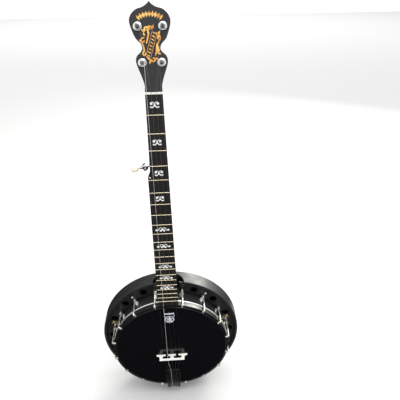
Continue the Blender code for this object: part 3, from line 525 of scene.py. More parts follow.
def enamel(name, roughness, specular=0.5):
    """Smooth black enamel on metal."""
    spread = 0.04
    return grained(name, even(0.006), roughness, (even(120), 3), (even(0.004), even(0.009)),
                   (roughness - spread, roughness + spread), (0.01, 0.3), specular=specular)


def pale_wood(name, dark, light):
    return grained(name, light, 0.5, ((60, 900, 700), 5), (dark, light), (0.45, 0.6), (0.03, 0.4))


def bone():
    return grained("polished_bone", (0.86, 0.84, 0.77), 0.32, ((1200, 300, 300), 4),
                   ((0.76, 0.72, 0.62), (0.90, 0.88, 0.82)), (0.25, 0.4), subsurface=0.08)


def pearl(name, dark, light, cell_per_metre):
    """Pearly flakes: broad cells of tint with a glossy coat."""
    material, tree, shader = new_material(name, light, 0.25)
    place = tree.nodes.new("ShaderNodeTexCoord")
    cells = tree.nodes.new("ShaderNodeTexVoronoi")
    cells.inputs["Scale"].default_value = cell_per_metre
    tree.links.new(place.outputs["Object"], cells.inputs["Vector"])
    colour_by(tree, shader, cells.outputs["Distance"], light, dark, 0.1, 0.8)
    roughness_by(tree, shader, noise_field(tree, even(200)), 0.18, 0.32)
    shader.inputs["Coat Weight"].default_value = 0.4
    return material


def printed(name, dark, light, per_metre=even(160)):
    """Printed or foil ornament with a drifting tint."""
    return grained(name, light, 0.4, (per_metre, 3), (dark, light), (0.32, 0.48), ends=(0.35, 0.62))


def wound_string():
    """Wire wrapped round a core: fine ridges along the string."""
    material, tree, shader = new_material("wound_string_metal", (0.90, 0.89, 0.85), 0.4, 0.5)
    place = tree.nodes.new("ShaderNodeTexCoord")
    wraps = tree.nodes.new("ShaderNodeTexWave")
    wraps.bands_direction = "Z"
    wraps.inputs["Scale"].default_value = 1200
    tree.links.new(place.outputs["Object"], wraps.inputs["Vector"])
    # painted shade: the grooves between the wraps, low in the bump, are coloured darker than the ridges
    colour_by(tree, shader, wraps.outputs["Fac"], (0.78, 0.77, 0.73), (0.96, 0.95, 0.91), 0.1, 0.6)
    roughness_by(tree, shader, noise_field(tree, even(300)), 0.35, 0.48)
    bump_by(tree, shader, wraps.outputs["Fac"], 0.03, 0.6)
    return material


# each finish is a material and the name of a CAD slot
LACQUER = (satin_lacquer(), "black_satin_wood")
EBONY = (ebony(), "fretboard_wood")
FILM = (head_film(), "head_film")
CHROME = (metal("polished_chrome", (0.80, 0.80, 0.81), 0.05, 0.12), "chrome")
FRET_WIRE = (metal("warm_fret_wire", (0.92, 0.80, 0.58), 0.18, 0.28, (900, 200, 200), 0.006), "chrome")
BRIGHT_ALLOY = (metal("turned_alloy", (0.86, 0.85, 0.82), 0.22, 0.34, (120, 120, 2000), 0.008), "aluminium")
BRASS = (metal("dull_brass", (0.52, 0.45, 0.25), 0.28, 0.42), "brass")
POST_STEEL = (metal("dark_post_steel", (0.24, 0.21, 0.21), 0.10, 0.18), "chrome")
STRING_STEEL = (metal("plain_string_steel", (0.36, 0.36, 0.35), 0.3, 0.4, (900, 900, 90)), "steel_string")
HOOK_PLATING = (metal("bright_hook_plating", (0.97, 0.95, 0.87), 0.22, 0.34, even(300), 0.006, 0.88),
                "chrome")
TAIL_ENAMEL = (enamel("tail_enamel", 0.2), "black_metal")
HOOP_ENAMEL = (enamel("hoop_enamel", 0.3, 0.9), "black_metal")
WOUND_STEEL = (wound_string(), "steel_string")
COATING = (powder_coat(), "black_metal")
HEEL_COATING = (COATING[0], "black_satin_wood")
MAPLE = (pale_wood("bleached_maple", (0.92, 0.90, 0.84), (0.98, 0.97, 0.93)), "maple")
BONE = (bone(), "bone")
BUTTON_PEARL = (pearl("cream_pearloid", (0.66, 0.58, 0.44), (0.86, 0.81, 0.69), 700), "pearloid")
INLAY_PEARL = (pearl("white_inlay", (0.80, 0.82, 0.82), (0.97, 0.97, 0.96), 900), "pearloid")
GOLD_PRINT = (printed("amber_ornament", (0.62, 0.24, 0.03), (0.92, 0.58, 0.16)), "brass")
GREY_PRINT = (printed("pale_grey_ornament", (0.36, 0.40, 0.50), (0.74, 0.76, 0.82), even(300)), "head_film")


# ------------------------------------------------------------------ neck and headstock
def treble_half_width(drop):
    return NUT_HALF_WIDTH + EDGE_SPREAD * drop


def shoulder_share(drop):
    t = min(max((drop - SHOULDER_START) / (SHOULDER_END - SHOULDER_START), 0), 1)
    return t * t * (3 - 2 * t)


def bass_half_width(drop):
    narrow = treble_half_width(drop)
    wide = SHOULDER_HALF_WIDTH + SHOULDER_SPREAD * drop
    return narrow + (wide - narrow) * shoulder_share(drop)


def neck_depth(drop):
    if drop < 0:
        return NECK_DEPTH_AT_NUT + (NECK_TOP_DEPTH - NECK_DEPTH_AT_NUT) * -drop / NECK_TOP
    slim = NECK_DEPTH_AT_NUT + (NECK_DEPTH_AT_HEEL - NECK_DEPTH_AT_NUT) * min(drop / HEEL_START, 1)
    t = min(max((drop - HEEL_START) / (HEEL_FULL - HEEL_START), 0), 1)
    return slim + (HEEL_DEPTH - slim) * (1 - math.sqrt(1 - t * t))


def stretch(start, end, count):
    return [start + (end - start) * step / count for step in range(count)]


def neck_shaft():
    steps = 32
    drops = stretch(-NECK_TOP, 0, 3) + stretch(0, SHOULDER_START, 10)
    drops += stretch(SHOULDER_START, SHOULDER_END, 10) + stretch(SHOULDER_END, HEEL_START, 16)
    heel = HEEL_FULL - HEEL_START
    drops += [HEEL_START + heel * math.sin(math.pi / 2 * step / 20) for step in range(21)]
    drops.append(NECK_BOTTOM)
    bm = bmesh.new()
    sections = []
    for drop in drops:
        section = []
        for step in range(steps + 1):
            turn = math.pi * step / steps
            half = treble_half_width(drop) if step <= steps / 2 else bass_half_width(drop)
            depth = BOARD_THICKNESS + (neck_depth(drop) - BOARD_THICKNESS) * math.sin(turn)
            section.append(bm.verts.new((half * math.cos(turn), -drop, -depth)))
        sections.append(section)
    for upper, lower in zip(sections, sections[1:]):
        for index in range(-1, steps):
            bm.faces.new((upper[index], upper[index + 1], lower[index + 1], lower[index]))
    bm.faces.new(sections[0])
    bm.faces.new(sections[-1])
    return moved(bm, BOARD)


def headstock_outline():
    side = [(15.2, 1), (15.4, 12), (19.4, 26), (24.6, 40), (27.6, 51), (25.6, 60), (18.6, 66.5),
            (15.7, 73), (18, 81), (26.2, 89.5), (31.6, 102), (35, 115.5), (32, 126), (23, 134.5),
            (12, 138), (4.5, 142.5), (0, 147)]
    right = smooth_curve(side, 6)
    return right + other_side(right[:-1])


def build_neck():
    # the outline's tip is so narrow that a wider rounding would fold over itself
    rounding = 0.35
    slab = moved(prism(headstock_outline(), -HEADSTOCK_THICKNESS, 0, rounding), FACE)
    neck = combined(neck_shaft(), slab, "UNION")
    play = 0.3
    rim_room = RIM_RADIUS + play
    hoop_room = FLESH_RADIUS + play
    ledge = FLESH_BACK - 0.6
    room = turned([(0, -90), (rim_room, -90), (rim_room, ledge), (hoop_room, ledge),
                   (hoop_room, 60), (0, 60)])
    neck = cut(neck, moved(room, POT))
    below_cap = moved(block((-40, -520, -100), (40, -440, -HEEL_CAP_DEPTH), 0), BOARD)
    holes = [moved(prism(circle(TUNER_HOLE_RADIUS, 24), -20, 5), FACE, (side, up, 0))
             for side, up in TUNER_PLACES.values()]
    holes.append(moved(prism(circle(FIFTH_HOLE_RADIUS, 20), 4, 20.5), FIFTH, ALONG_X))
    holes.append(moved(prism(circle(ROD_HOLE_RADIUS, 20), 120, 156), POT, (0, 0, ROD_HEIGHT), UP))
    neck = cut(neck, merged(below_cap, *holes))
    piece("neck_wood", neck, WORLD, LACQUER, "neck")

    edge = [(7.2, -503), (7.0, -494), (4.6, -484)]
    cap_outline = smooth_curve(edge + [(0, -479.5)] + other_side(edge), 5)
    piece("heel_cap", prism(cap_outline, -HEEL_CAP_DEPTH - 0.8, -HEEL_CAP_DEPTH + 0.4, 0.3),
          BOARD, HEEL_COATING)


# ------------------------------------------------------------------ ornament
def brush(path, width, tip=0.25):
    """Outline of a stroke along a flat path, swelling in the middle and narrow at its ends."""
    left = []
    right = []
    last = len(path) - 1
    for index, point in enumerate(path):
        before = Vector(path[max(index - 1, 0)])
        after = Vector(path[min(index + 1, last)])
        along = (after - before).normalized()
        swell = tip + (1 - tip) * math.sin(math.pi * index / last) ** 0.7
        offset = Vector((-along.y, along.x)) * width / 2 * swell
        left.append(tuple(Vector(point) + offset))
        right.append(tuple(Vector(point) - offset))
    return left + list(reversed(right))


def spiral(centre, radius, start, sweep, steps=22, end_share=0.25):
    """Path that winds in from the given radius to a share of it; angles in degrees."""
    points = []
    for step in range(steps + 1):
        t = step / steps
        turn = math.radians(start + sweep * t)
        reach = radius * (1 - (1 - end_share) * t)
        points.append((centre[0] + reach * math.cos(turn), centre[1] + reach * math.sin(turn)))
    return points


def leaf(root, angle, length, width):
    """Pointed leaf outline from its root."""
    along = Vector((math.cos(math.radians(angle)), math.sin(math.radians(angle))))
    aside = Vector((-along.y, along.x))
    points = []
    for side in (1, -1):
        steps = range(9) if side == 1 else range(8, -1, -1)
        for step in steps:
            t = step / 8
            bulge = math.sin(math.pi * t ** 0.75) * width / 2 * side
            points.append(tuple(Vector(root) + along * length * t + aside * bulge))
    return points[:-1]


def ornament(outlines, low, high):
    """Thin raised shapes with softened rims, at slightly different heights where they overlap."""
    levels = 7
    step = 0.012
    return merged(*[prism(outline, low, high + step * (index % levels), 0.05, 1)
                    for index, outline in enumerate(outlines)])


def mirrored(shapes, place):
    """The shapes and their mirror images, moved to a place."""
    return [[(place[0] + side * x, place[1] + y) for x, y in shape]
            for shape in shapes for side in (1, -1)]


def scroll_pair(place):
    """Two scrolls back to back, each with a ball at its upper end and a hooked foot."""
    crook = smooth_curve([(5.6, 4.9), (3.8, 5.5), (2.0, 4.9), (0.8, 3.3), (0.5, 1.4)], 5)
    leg = smooth_curve([(0.3, 2.4), (0.8, -0.6), (2.4, -3.0), (4.6, -4.4), (6.8, -4.1), (8.0, -2.4)], 5)
    foot = circle(1.25, 16, (7.2, -3.3))
    return mirrored([circle(2.5, 20, (5.8, 2.7)), brush(crook, 1.1, 0.8), brush(leg, 2.1, 0.5), foot], place)


def scroll_row(place):
    """Low row: two small loops with balls between two waves that end in dots."""
    loop = smooth_curve([(0.3, 0.4), (1.3, 3.0), (3.8, 4.4), (6.2, 3.2), (7.6, 0.4), (9.0, -1.9),
                         (11.0, -2.0)], 5)
    arm = smooth_curve([(0.0, 2.0), (1.0, -0.4), (2.6, -2.2), (3.8, -3.2)], 4)
    return mirrored([circle(2.3, 18, (12.4, -1.2)), brush(loop, 1.5, 0.6), brush(arm, 3.2, 0.6),
                     circle(2.1, 18, (3.8, -2.9))], place)


def fret_drop(number):
    return SCALE_LENGTH * (1 - 2 ** (-number / 12))


def space_middle(number):
    return (fret_drop(number - 1) + fret_drop(number)) / 2


def build_fretboard():
    drops = [0] + stretch(SHOULDER_START, SHOULDER_END, 12) + [SHOULDER_END, BOARD_LENGTH]
    bass_edge = [(-bass_half_width(drop), -drop) for drop in drops]
    treble_edge = [(treble_half_width(drop), -drop) for drop in (BOARD_LENGTH, 0)]
    board = prism(bass_edge + treble_edge, -BOARD_THICKNESS, 0, 0.4)
    piece("fretboard_wood", board, BOARD, EBONY, "fretboard")

    wires = []
    end_gap = 0.4
    half = 1.1
    sunk = -0.3
    crown = [(half * x, max(y, sunk)) for x, y in arc((0, 0), 1.0, 0, 180, 10)]
    crown += [(-half, sunk), (half, sunk)]
    for number in range(1, FRET_COUNT + 1):
        drop = fret_drop(number)
        left = -(bass_half_width(drop) - end_gap)
        right = treble_half_width(drop) - end_gap
        wires.append(moved(prism(crown, left, right, 0.3), (0, -drop, 0), SIDE_ON))
    piece("frets", merged(*wires), BOARD, FRET_WIRE)

    shapes = []
    for number in (1, 3, 5, 7, 10, 12, 15, 17, 19):
        drop = space_middle(number)
        place = ((treble_half_width(drop) - bass_half_width(drop)) / 2, -drop)
        shapes += scroll_pair(place) if number < 10 else scroll_row(place)
    piece("fretboard_inlays", ornament(shapes, -0.2, 0.06), BOARD, INLAY_PEARL)

    dots = []
    for number in (3, 5, 7, 10, 12, 15, 17, 19):
        drop = space_middle(number)
        dot = prism(circle(1.0, 14), -0.5, 0.06, 0.03, 1)
        dots.append(moved(dot, (-bass_half_width(drop), -drop, -2.6), rotation("Y", -90)))
    piece("side_dots", merged(*dots), BOARD, INLAY_PEARL)


def on_headstock(point):
    """The point, drawn in where it would overhang the edge of the headstock."""
    margin = 1.6
    side = [corner for corner in headstock_outline() if corner[0] >= 0]
    x, y = point
    for (x0, y0), (x1, y1) in zip(side, side[1:]):
        if y0 <= y <= y1:
            reach = x0 + (x1 - x0) * (y - y0) / (y1 - y0) - margin
            x = max(-reach, min(reach, x))
    return (x, y)


def build_headstock_ornament():
    """Arched band of lozenges and bars, and leafy scrolls around a plain slanting ribbon."""
    shapes = []
    arch_centre = Vector((0, 92))
    arch_radius = 35
    count = 17
    for index in range(count):
        turn = math.radians(90 + 34 * (1 - 2 * index / (count - 1)))
        out = Vector((math.cos(turn), math.sin(turn)))
        along = Vector((-out.y, out.x))
        middle = arch_centre + out * arch_radius
        reach, half = (5.2, 1.9) if index % 2 == 0 else (3.8, 0.75)
        shapes.append([tuple(middle + out * reach), tuple(middle + along * half),
                       tuple(middle - out * reach), tuple(middle - along * half)])

    scrolls = [((-7.5, 103), 4.8, 330, 300), ((0.5, 104.5), 3.6, 200, -300), ((-13.0, 85), 4.8, 60, 330),
               ((12.6, 90), 4.4, 120, -320), ((-11.5, 64), 4.0, 120, 320), ((11.0, 71), 4.6, 60, -330),
               ((2.8, 54.5), 4.6, 200, 300)]
    for centre, radius, start, sweep in scrolls:
        shapes.append(brush(spiral(centre, radius, start, sweep), 2.6, 0.35))
    stems = [[(-6, 104), (-3.4, 97), (-5, 89), (-8, 80)], [(-16, 82), (-13, 74), (-12.5, 66)],
             [(14, 84), (10.5, 78), (9.5, 70), (6.5, 60)], [(9, 98), (12.5, 93), (15, 86)],
             [(-9, 60), (-4, 54.5), (3, 50.5)]]
    for stem in stems:
        shapes.append(brush(smooth_curve(stem, 6), 3.0, 0.3))
    leaves = [((-9, 99), 150, 8, 4.0), ((3, 103), 70, 8, 3.8), ((-2, 101), 95, 9, 3.8),
              ((-15, 82), 140, 7, 4.0), ((-11.5, 71), 250, 7, 3.4), ((13, 84), 48, 7, 4.0),
              ((11, 76), -75, 7, 3.4), ((9.8, 66), -30, 8, 3.8), ((7, 57), -40, 8, 3.8),
              ((-2, 53), 250, 7, 3.8), ((-10, 92), 110, 7, 3.4), ((13.5, 95), 60, 6, 3.4)]
    for root, angle, length, width in leaves:
        shapes.append(leaf(root, angle, length, width))

    ribbon_start = Vector((-6.0, 58))
    ribbon_end = Vector((7.6, 99))
    ribbon = ribbon_end - ribbon_start
    along = ribbon.normalized()
    aside = Vector((-along.y, along.x))
    for offset in (-4.4, 4.4):
        line = [tuple(ribbon_start + aside * offset + ribbon * step / 10) for step in range(11)]
        shapes.append(brush(line, 0.7, 0.7))
    ticks = 8
    for index in range(ticks):
        middle = ribbon_start + ribbon * (index + 0.5) / ticks
        shapes.append(brush([tuple(middle + aside * reach + along * reach * 0.3) for reach in (-2.8, 0, 2.8)],
                            2.0, 0.5))
    shapes = [[on_headstock(point) for point in shape] for shape in shapes]
    piece("headstock_ornament", ornament(shapes, -0.2, 0.08), FACE, GOLD_PRINT)


def build_head_ornament():
    """Pale mark on the film: a beaded bar, two dots and a round medallion of scrolls."""
    bar = 119.0
    medallion = 100.5
    shapes = [circle(2.4, 18, (x, bar)) for x in (-10, -5, 0, 5, 10)]
    shapes.append([(-12, bar - 2.2), (12, bar - 2.2), (12, bar + 0.4), (-12, bar + 0.4)])
    sides = [circle(1.9, 18, (11.2, medallion + 10.4)), circle(2.0, 18, (5.6, medallion + 2.6)),
             brush(spiral((4.0, medallion - 4.2), 3.6, 60, 380), 2.2, 0.6),
             brush(arc((0, medallion), 10.4, -89, 89, 28), 2.2, 0.5)]
    shapes += mirrored(sides, (0, 0))
    shapes.append(leaf((0, medallion - 3.0), 90, 14, 6.4))
    shapes.append(leaf((0, medallion - 3.0), 270, 7, 4.0))
    piece("head_ornament", ornament(shapes, FILM_FRONT - 0.1, FILM_FRONT + 0.08), POT, GREY_PRINT)


# ------------------------------------------------------------------ nuts
def build_nuts():
    top = []
    for rank in (3, 2, 1, 0):
        middle = (rank - 1.5) * NUT_SPACING
        top += arc((middle, NUT_RISE), 0.45, 0, -180, 6)
    bottom = -BOARD_THICKNESS + 0.3
    outline = [(-NUT_HALF_WIDTH, bottom), (NUT_HALF_WIDTH, bottom),
               (NUT_HALF_WIDTH, NUT_RISE - 0.5), (NUT_HALF_WIDTH - 0.6, NUT_RISE)]
    outline += top + [(-NUT_HALF_WIDTH + 0.6, NUT_RISE), (-NUT_HALF_WIDTH, NUT_RISE - 0.5)]
    piece("string_nut", moved(prism(outline, NUT_BOTTOM, NUT_TOP, 0.25), STANDING), BOARD, BONE, "nut")
    post = turned([(0, -0.2), (1.5, -0.2), (1.5, 1.4), (1.2, 1.8), (0.7, FIFTH_NUT_RISE),
                   (0, FIFTH_NUT_RISE)], 20)
    groove = moved(prism(circle(0.3, 12), -3, 3), (0, 0, FIFTH_NUT_RISE), DOWN)
    piece("fifth_string_post_nut", moved(cut(post, groove), (-FIFTH_NUT_SIDE, -FIFTH_NUT_DROP, 0)),
          BOARD, BONE, "fifth_string_nut")


# ------------------------------------------------------------------ tuners
def lobed(radius, depth, lobes, per_lobe=4):
    """Knurled outline: a circle with small even waves."""
    count = lobes * per_lobe
    points = []
    for step in range(count):
        reach = radius - depth / 2 * (1 - math.cos(lobes * math.tau * step / count))
        turn = math.tau * step / count
        points.append((reach * math.cos(turn), reach * math.sin(turn)))
    return points


def tuner_housing():
    back = -HEADSTOCK_THICKNESS
    washer = turned([(5, 0.05), (7.3, 0.05), (7.6, 0.4), (7.65, 0.9), (7.4, 1.4), (6.8, 1.75),
                     (5.6, 1.95), (5, 1.95)], SMALL_ROUND, ring=True)
    collar = turned([(3.5, 4.2), (4.5, 4.2), (5.0, 3.9), (5.2, 3.3), (5.2, 1.6), (5, 1.2),
                     (5, back), (3.5, back)], SMALL_ROUND, ring=True)
    drum = turned([(3.5, back - 0.05), (9.0, back - 0.05), (9.4, back - 0.5), (9.6, back - 5),
                   (9.8, back - 10.8), (9.3, back - 11.9), (7.6, back - 13.2), (6.4, -30),
                   (2.3, -30), (2.3, -24), (3.5, -24)], SMALL_ROUND, ring=True)
    grip = prism(lobed(9.75, 0.35, 30), back - 8.2, back - 2.2, 0.2, 1)
    grip = cut(grip, prism(circle(9.0), back - 9, back - 1))
    return merged(washer, collar, drum, grip)


def tuner_post():
    waist = TUNER_POST_RADIUS - 0.5
    middle = TUNER_STRING_HEIGHT
    body = turned([(0, -23.7), (TUNER_POST_RADIUS, -23.7), (TUNER_POST_RADIUS, middle - 2.6),
                   (TUNER_POST_RADIUS - 0.1, middle - 2.3), (waist, middle - 1.2),
                   (waist, middle + 1.2), (TUNER_POST_RADIUS - 0.1, middle + 2.3),
                   (TUNER_POST_RADIUS, middle + 2.6), (TUNER_POST_RADIUS, 13.2),
                   (2.9, 13.9), (2.3, 14.3), (0, 14.3)], SMALL_ROUND)
    hole = moved(prism(circle(0.8, 14), -5, 5), (0, 0, middle), ALONG_X)
    return cut(body, hole)


def oval(bm, flatness):
    """Squeeze a turned button to an oval."""
    for vert in bm.verts:
        vert.co.y *= flatness
    return bm


def tuner_button():
    profile = [(0, -30.3), (3.4, -30.5), (4.4, -30.8), (6.4, -31.7), (8.2, -33.2), (9.2, -35.4),
               (9.5, -38), (9.3, -40.4), (8.4, -42.8), (6.6, -44.4), (4.2, -45.3), (2, -45.5), (0, -45.5)]
    return oval(turned(profile, SMALL_ROUND), 0.72)


def coil(radius, wire, turns, height, steps_per_turn=20):
    """String wound on a post, as a tight helix about Z."""
    path = []
    count = turns * steps_per_turn
    for step in range(count + 1):
        turn = math.tau * step / steps_per_turn
        path.append((radius * math.cos(turn), radius * math.sin(turn),
                     height + wire * 2.2 * (step / steps_per_turn - turns / 2)))
    return tube(path, wire, 8, across=(0, 0, 1))


def string_metal(number):
    return WOUND_STEEL if number == 4 else STRING_STEEL


def build_tuners():
    for string, (side, up) in TUNER_PLACES.items():
        spot = FACE @ shift(side, up, 0)
        wire = STRING_RADII[string - 1]
        post = f"tuner_post_{string}"
        button = f"tuner_button_{string}"
        piece(f"tuner_{string}_housing", tuner_housing(), spot, CHROME, f"tuner_housing_{string}")
        piece(f"tuner_{string}_post", tuner_post(), spot, POST_STEEL, post, post)
        winding = coil(TUNER_POST_RADIUS - 0.5 + wire, wire, 3, TUNER_STRING_HEIGHT)
        piece(f"tuner_{string}_winding", winding, spot, string_metal(string), body=post)
        piece(f"tuner_{string}_button", tuner_button(), spot, BUTTON_PEARL, button, button)
        shaft = merged(prism(circle(1.9, 24), -31.5, -24.4, 0.2),
                       turned([(0, -45.3), (2.2, -45.3), (2.2, -45.9), (1.6, -46.3), (0, -46.4)], 24))
        piece(f"tuner_{string}_button_shaft", shaft, spot, CHROME, body=button)


def build_fifth_tuner():
    drum = turned([(0, -5.5), (5.4, -5.5), (6.0, -5.0), (6.2, -4.2), (6.3, 4.4), (6.1, 5.4),
                   (5.6, 6.3), (4.6, 6.9), (2.6, 7), (2.55, 2), (0, 2)], SMALL_ROUND)
    sleeve = turned([(1.9, -11), (2.5, -11), (2.9, -10.6), (3.9, -4), (1.9, -4)], SMALL_ROUND, ring=True)
    shank = rod(3, 4, 20, 24)
    band = prism(lobed(6.4, 0.3, 26), -4, 0, 0.15, 1)
    housing = merged(drum, band, moved(sleeve, ALONG_X), moved(shank, ALONG_X))
    piece("fifth_tuner_case", housing, FIFTH, CHROME, "fifth_tuner_housing")

    top = FIFTH_TUNER_DEPTH + 7
    post = turned([(0, 2.3), (FIFTH_POST_RADIUS, 2.3), (FIFTH_POST_RADIUS, top - 5.5),
                   (1.8, top - 4.6), (1.8, top - 2.8), (FIFTH_POST_RADIUS, top - 2),
                   (FIFTH_POST_RADIUS, top - 0.7), (1.9, top - 0.2), (1.5, top), (0, top)], 28)
    piece("fifth_tuner_pin", post, FIFTH, POST_STEEL, "fifth_tuner_post", "fifth_tuner_post")
    wire = STRING_RADII[4]
    piece("fifth_tuner_winding", coil(1.8 + wire, wire, 4, top - 3.7), FIFTH, STRING_STEEL,
          body="fifth_tuner_post")

    knob = turned([(0, -14.5), (2.9, -14.6), (4.0, -15.0), (5.5, -16.4), (6.4, -18.8), (6.7, -21.7),
                   (6.4, -24.5), (5.3, -27.0), (3.6, -28.4), (1.8, -28.8), (0, -28.8)], SMALL_ROUND)
    piece("fifth_tuner_knob", moved(oval(knob, 0.85), ALONG_X), FIFTH, BUTTON_PEARL,
          "fifth_tuner_button", "fifth_tuner_button")
    stem = rod(1.55, -15.5, -6.4, 20)
    piece("fifth_tuner_stem", moved(stem, ALONG_X), FIFTH, CHROME, body="fifth_tuner_button")


# ------------------------------------------------------------------ pot
def build_pot_rings():
    rim = soft_ring(RIM_INNER_RADIUS, RIM_RADIUS, RIM_BACK, RIM_FRONT + 0.3, 1.2)
    tunnel = moved(prism(circle(ROD_HOLE_RADIUS, 20), -165, 165), (0, 0, ROD_HEIGHT), DOWN)
    piece("rim_shell", cut(rim, tunnel), POT, LACQUER, "rim")
    tone = soft_ring(TONE_RADIUS - TONE_RING_WIDTH, TONE_RADIUS, TONE_BACK, TONE_FRONT, 1.0)
    piece("tone_ring_metal", tone, POT, BRIGHT_ALLOY, "tone_ring")

    crown = 1.2
    outer = FILM_RADIUS
    inner = outer - HEAD_THICKNESS
    profile = [(0, FILM_FRONT), (60, FILM_FRONT), (110, FILM_FRONT)]
    profile += arc((outer - crown, FILM_FRONT - crown), crown, 90, 0, 5)
    profile += [(outer, FILM_SKIRT_END), (inner, FILM_SKIRT_END)]
    profile += arc((outer - crown, FILM_FRONT - crown), crown - HEAD_THICKNESS, 0, 90, 5)
    profile += [(110, FILM_UNDERSIDE), (0, FILM_UNDERSIDE)]
    piece("head_film", turned(profile), POT, FILM, "drum_head")

    flesh = soft_ring(outer + 0.05, FLESH_RADIUS, FLESH_BACK, FLESH_HOOP_FRONT + 0.1, 2.2, 5)
    piece("flesh_hoop_ring", flesh, POT, BRIGHT_ALLOY, "flesh_hoop")
    hoop = soft_ring(HOOP_INNER_RADIUS, HOOP_RADIUS, HOOP_BACK, HOOP_FRONT, 0.3)
    piece("tension_hoop_ring", hoop, POT, HOOP_ENAMEL, "tension_hoop")


def hook():
    """Round bar that bends over the hoop and ends in a flattened claw."""
    bend = 4.0
    claw_height = HOOP_FRONT + 1.8
    path = [(0, HOOK_RADIUS, -27), (0, HOOK_RADIUS, -26.4), (0, HOOK_RADIUS, -10), (0, HOOK_RADIUS, 8),
            (0, HOOK_RADIUS, claw_height - bend)]
    path += [(0, y, z) for y, z in arc((HOOK_RADIUS - bend, claw_height - bend), bend, 15, 90, 6)]
    path += [(0, 142.5, claw_height), (0, 140.9, claw_height - 0.2), (0, 140.5, claw_height - 0.6)]
    bar = HOOK_SHAFT_RADIUS
    radii = [(bar - 0.5, bar - 0.5)] + [(bar, bar)] * 4
    radii += [(bar + 0.16 * step, bar - 0.08 * step) for step in range(1, 8)]
    radii += [(2.75, 1.4), (2.4, 1.3), (1.6, 0.8)]
    return tube(path, radii, 14)


def shoe():
    """Leaf-shaped wall plate with a lug that the hook passes through."""
    wall = RIM_RADIUS
    lug_back = -21
    thickness = 2.4
    edge = smooth_curve([(-5, wall), (-4.9, wall + 3.5), (-4.4, HOOK_RADIUS)], 3)
    lug = edge + arc((0, HOOK_RADIUS), 4.6, 180, 0, 12) + other_side(edge)
    lug_plate = prism(lug, lug_back, lug_back + thickness, 0.5)
    edge = [(-5, lug_back), (-5, -17), (-4.2, -13), (-2.6, -9.2)]
    tongue = smooth_curve(edge + [(0, -6.2)] + other_side(edge), 4)
    wall_plate = moved(prism(tongue, 0, thickness, 0.7), (0, wall + 0.1, 0), STANDING)
    web = prism([(wall + 1, lug_back + 1.5), (wall + 8, lug_back + 1.5), (wall + 1, -12.5)],
                -thickness / 2, thickness / 2, 0.4)
    web = moved(web, SIDE_ON)
    return merged(lug_plate, wall_plate, web)


def hook_nut():
    nut = prism(circle(3.7, 6), -26, -21, 0.5)
    washer = turned([(2, -21.05), (4.3, -21.05), (4.3, -21.7), (2, -21.7)], 28, ring=True)
    return moved(merged(nut, washer), (0, HOOK_RADIUS, 0))


def build_brackets():
    for number, angle in enumerate(HOOK_ANGLES, start=1):
        place = POT @ rotation("Z", -angle)
        piece(f"hook_{number:02d}", merged(hook(), hook_nut()), place, HOOK_PLATING,
              f"bracket_{number:02d}")
        piece(f"shoe_{number:02d}", shoe(), place, CHROME)


def build_coordinator_rod():
    wall = RIM_INNER_RADIUS - 0.1
    bar = rod(4, -wall + 2, wall - 2, SMALL_ROUND)
    screw = turned([(0, wall - 4), (3, wall - 4), (3, 153), (2.4, 154), (0, 154)], 28)
    nuts = [prism(circle(7, 6), end, end + 5.6, 0.6) for end in (wall - 6, -wall + 0.4)]
    piece("coordinator_rod_bar", moved(merged(bar, screw, *nuts), (0, 0, ROD_HEIGHT), UP), POT,
          CHROME, "coordinator_rod")


def build_bridge():
    """Three-footed bridge with two rounded windows, thin at the strings."""
    foot_thickness = 4.6
    top_thickness = 2.2
    near_foot = [(9.9, 0), (9.9, 1.6), (7.6, 1.9), (5.4, 2.8), (3.9, 4.6), (3.4, 7.2), (4.2, 10),
                 (6.6, 11.9)]
    far_foot = [(21.6, 11.9), (24, 10), (24.8, 7.2), (24.3, 4.6), (22.6, 2.8), (19.4, 1.9),
                (16.4, 1.6), (16.4, 0)]
    end = [(39.4, 0), (39.4, 1.4), (37.2, 1.8), (34.6, 3.0), (32.6, 5.8), (31.8, 9.4), (31.7, 13)]
    right = [near_foot[0]] + smooth_curve(near_foot[1:], 3) + smooth_curve(far_foot[:-1], 3)
    right += [far_foot[-1], end[0]] + smooth_curve(end[1:], 3)
    notches = []
    for rank in (2, 1, 0, -1, -2):
        notches += arc((rank * BRIDGE_SPACING, BRIDGE_HEIGHT), 0.4, 0, -180, 4)
    top_half = 31.6
    outline = right + [(top_half, BRIDGE_HEIGHT)] + notches + [(-top_half, BRIDGE_HEIGHT)]
    outline += other_side(right)
    bm = prism(outline, -foot_thickness / 2, foot_thickness / 2, 0.3)
    for vert in bm.verts:
        vert.co.z *= 1 - (1 - top_thickness / foot_thickness) * max(vert.co.y, 0) / BRIDGE_HEIGHT
    piece("bridge_wood", moved(bm, (0, -BRIDGE_DROP, FILM_FRONT + 0.1), DOWN), POT, MAPLE, "bridge")


# ------------------------------------------------------------------ tailpiece
def tail_slope():
    """Frame on the top of the tailpiece's front edge, with -Y running down its slope."""
    slope = math.atan2(TAIL_FRONT_HEIGHT - TAIL_REAR_HEIGHT, TAIL_REAR - TAIL_FRONT)
    return shift(0, -TAIL_FRONT, TAIL_FRONT_HEIGHT) @ Matrix.Rotation(slope, 4, "X")


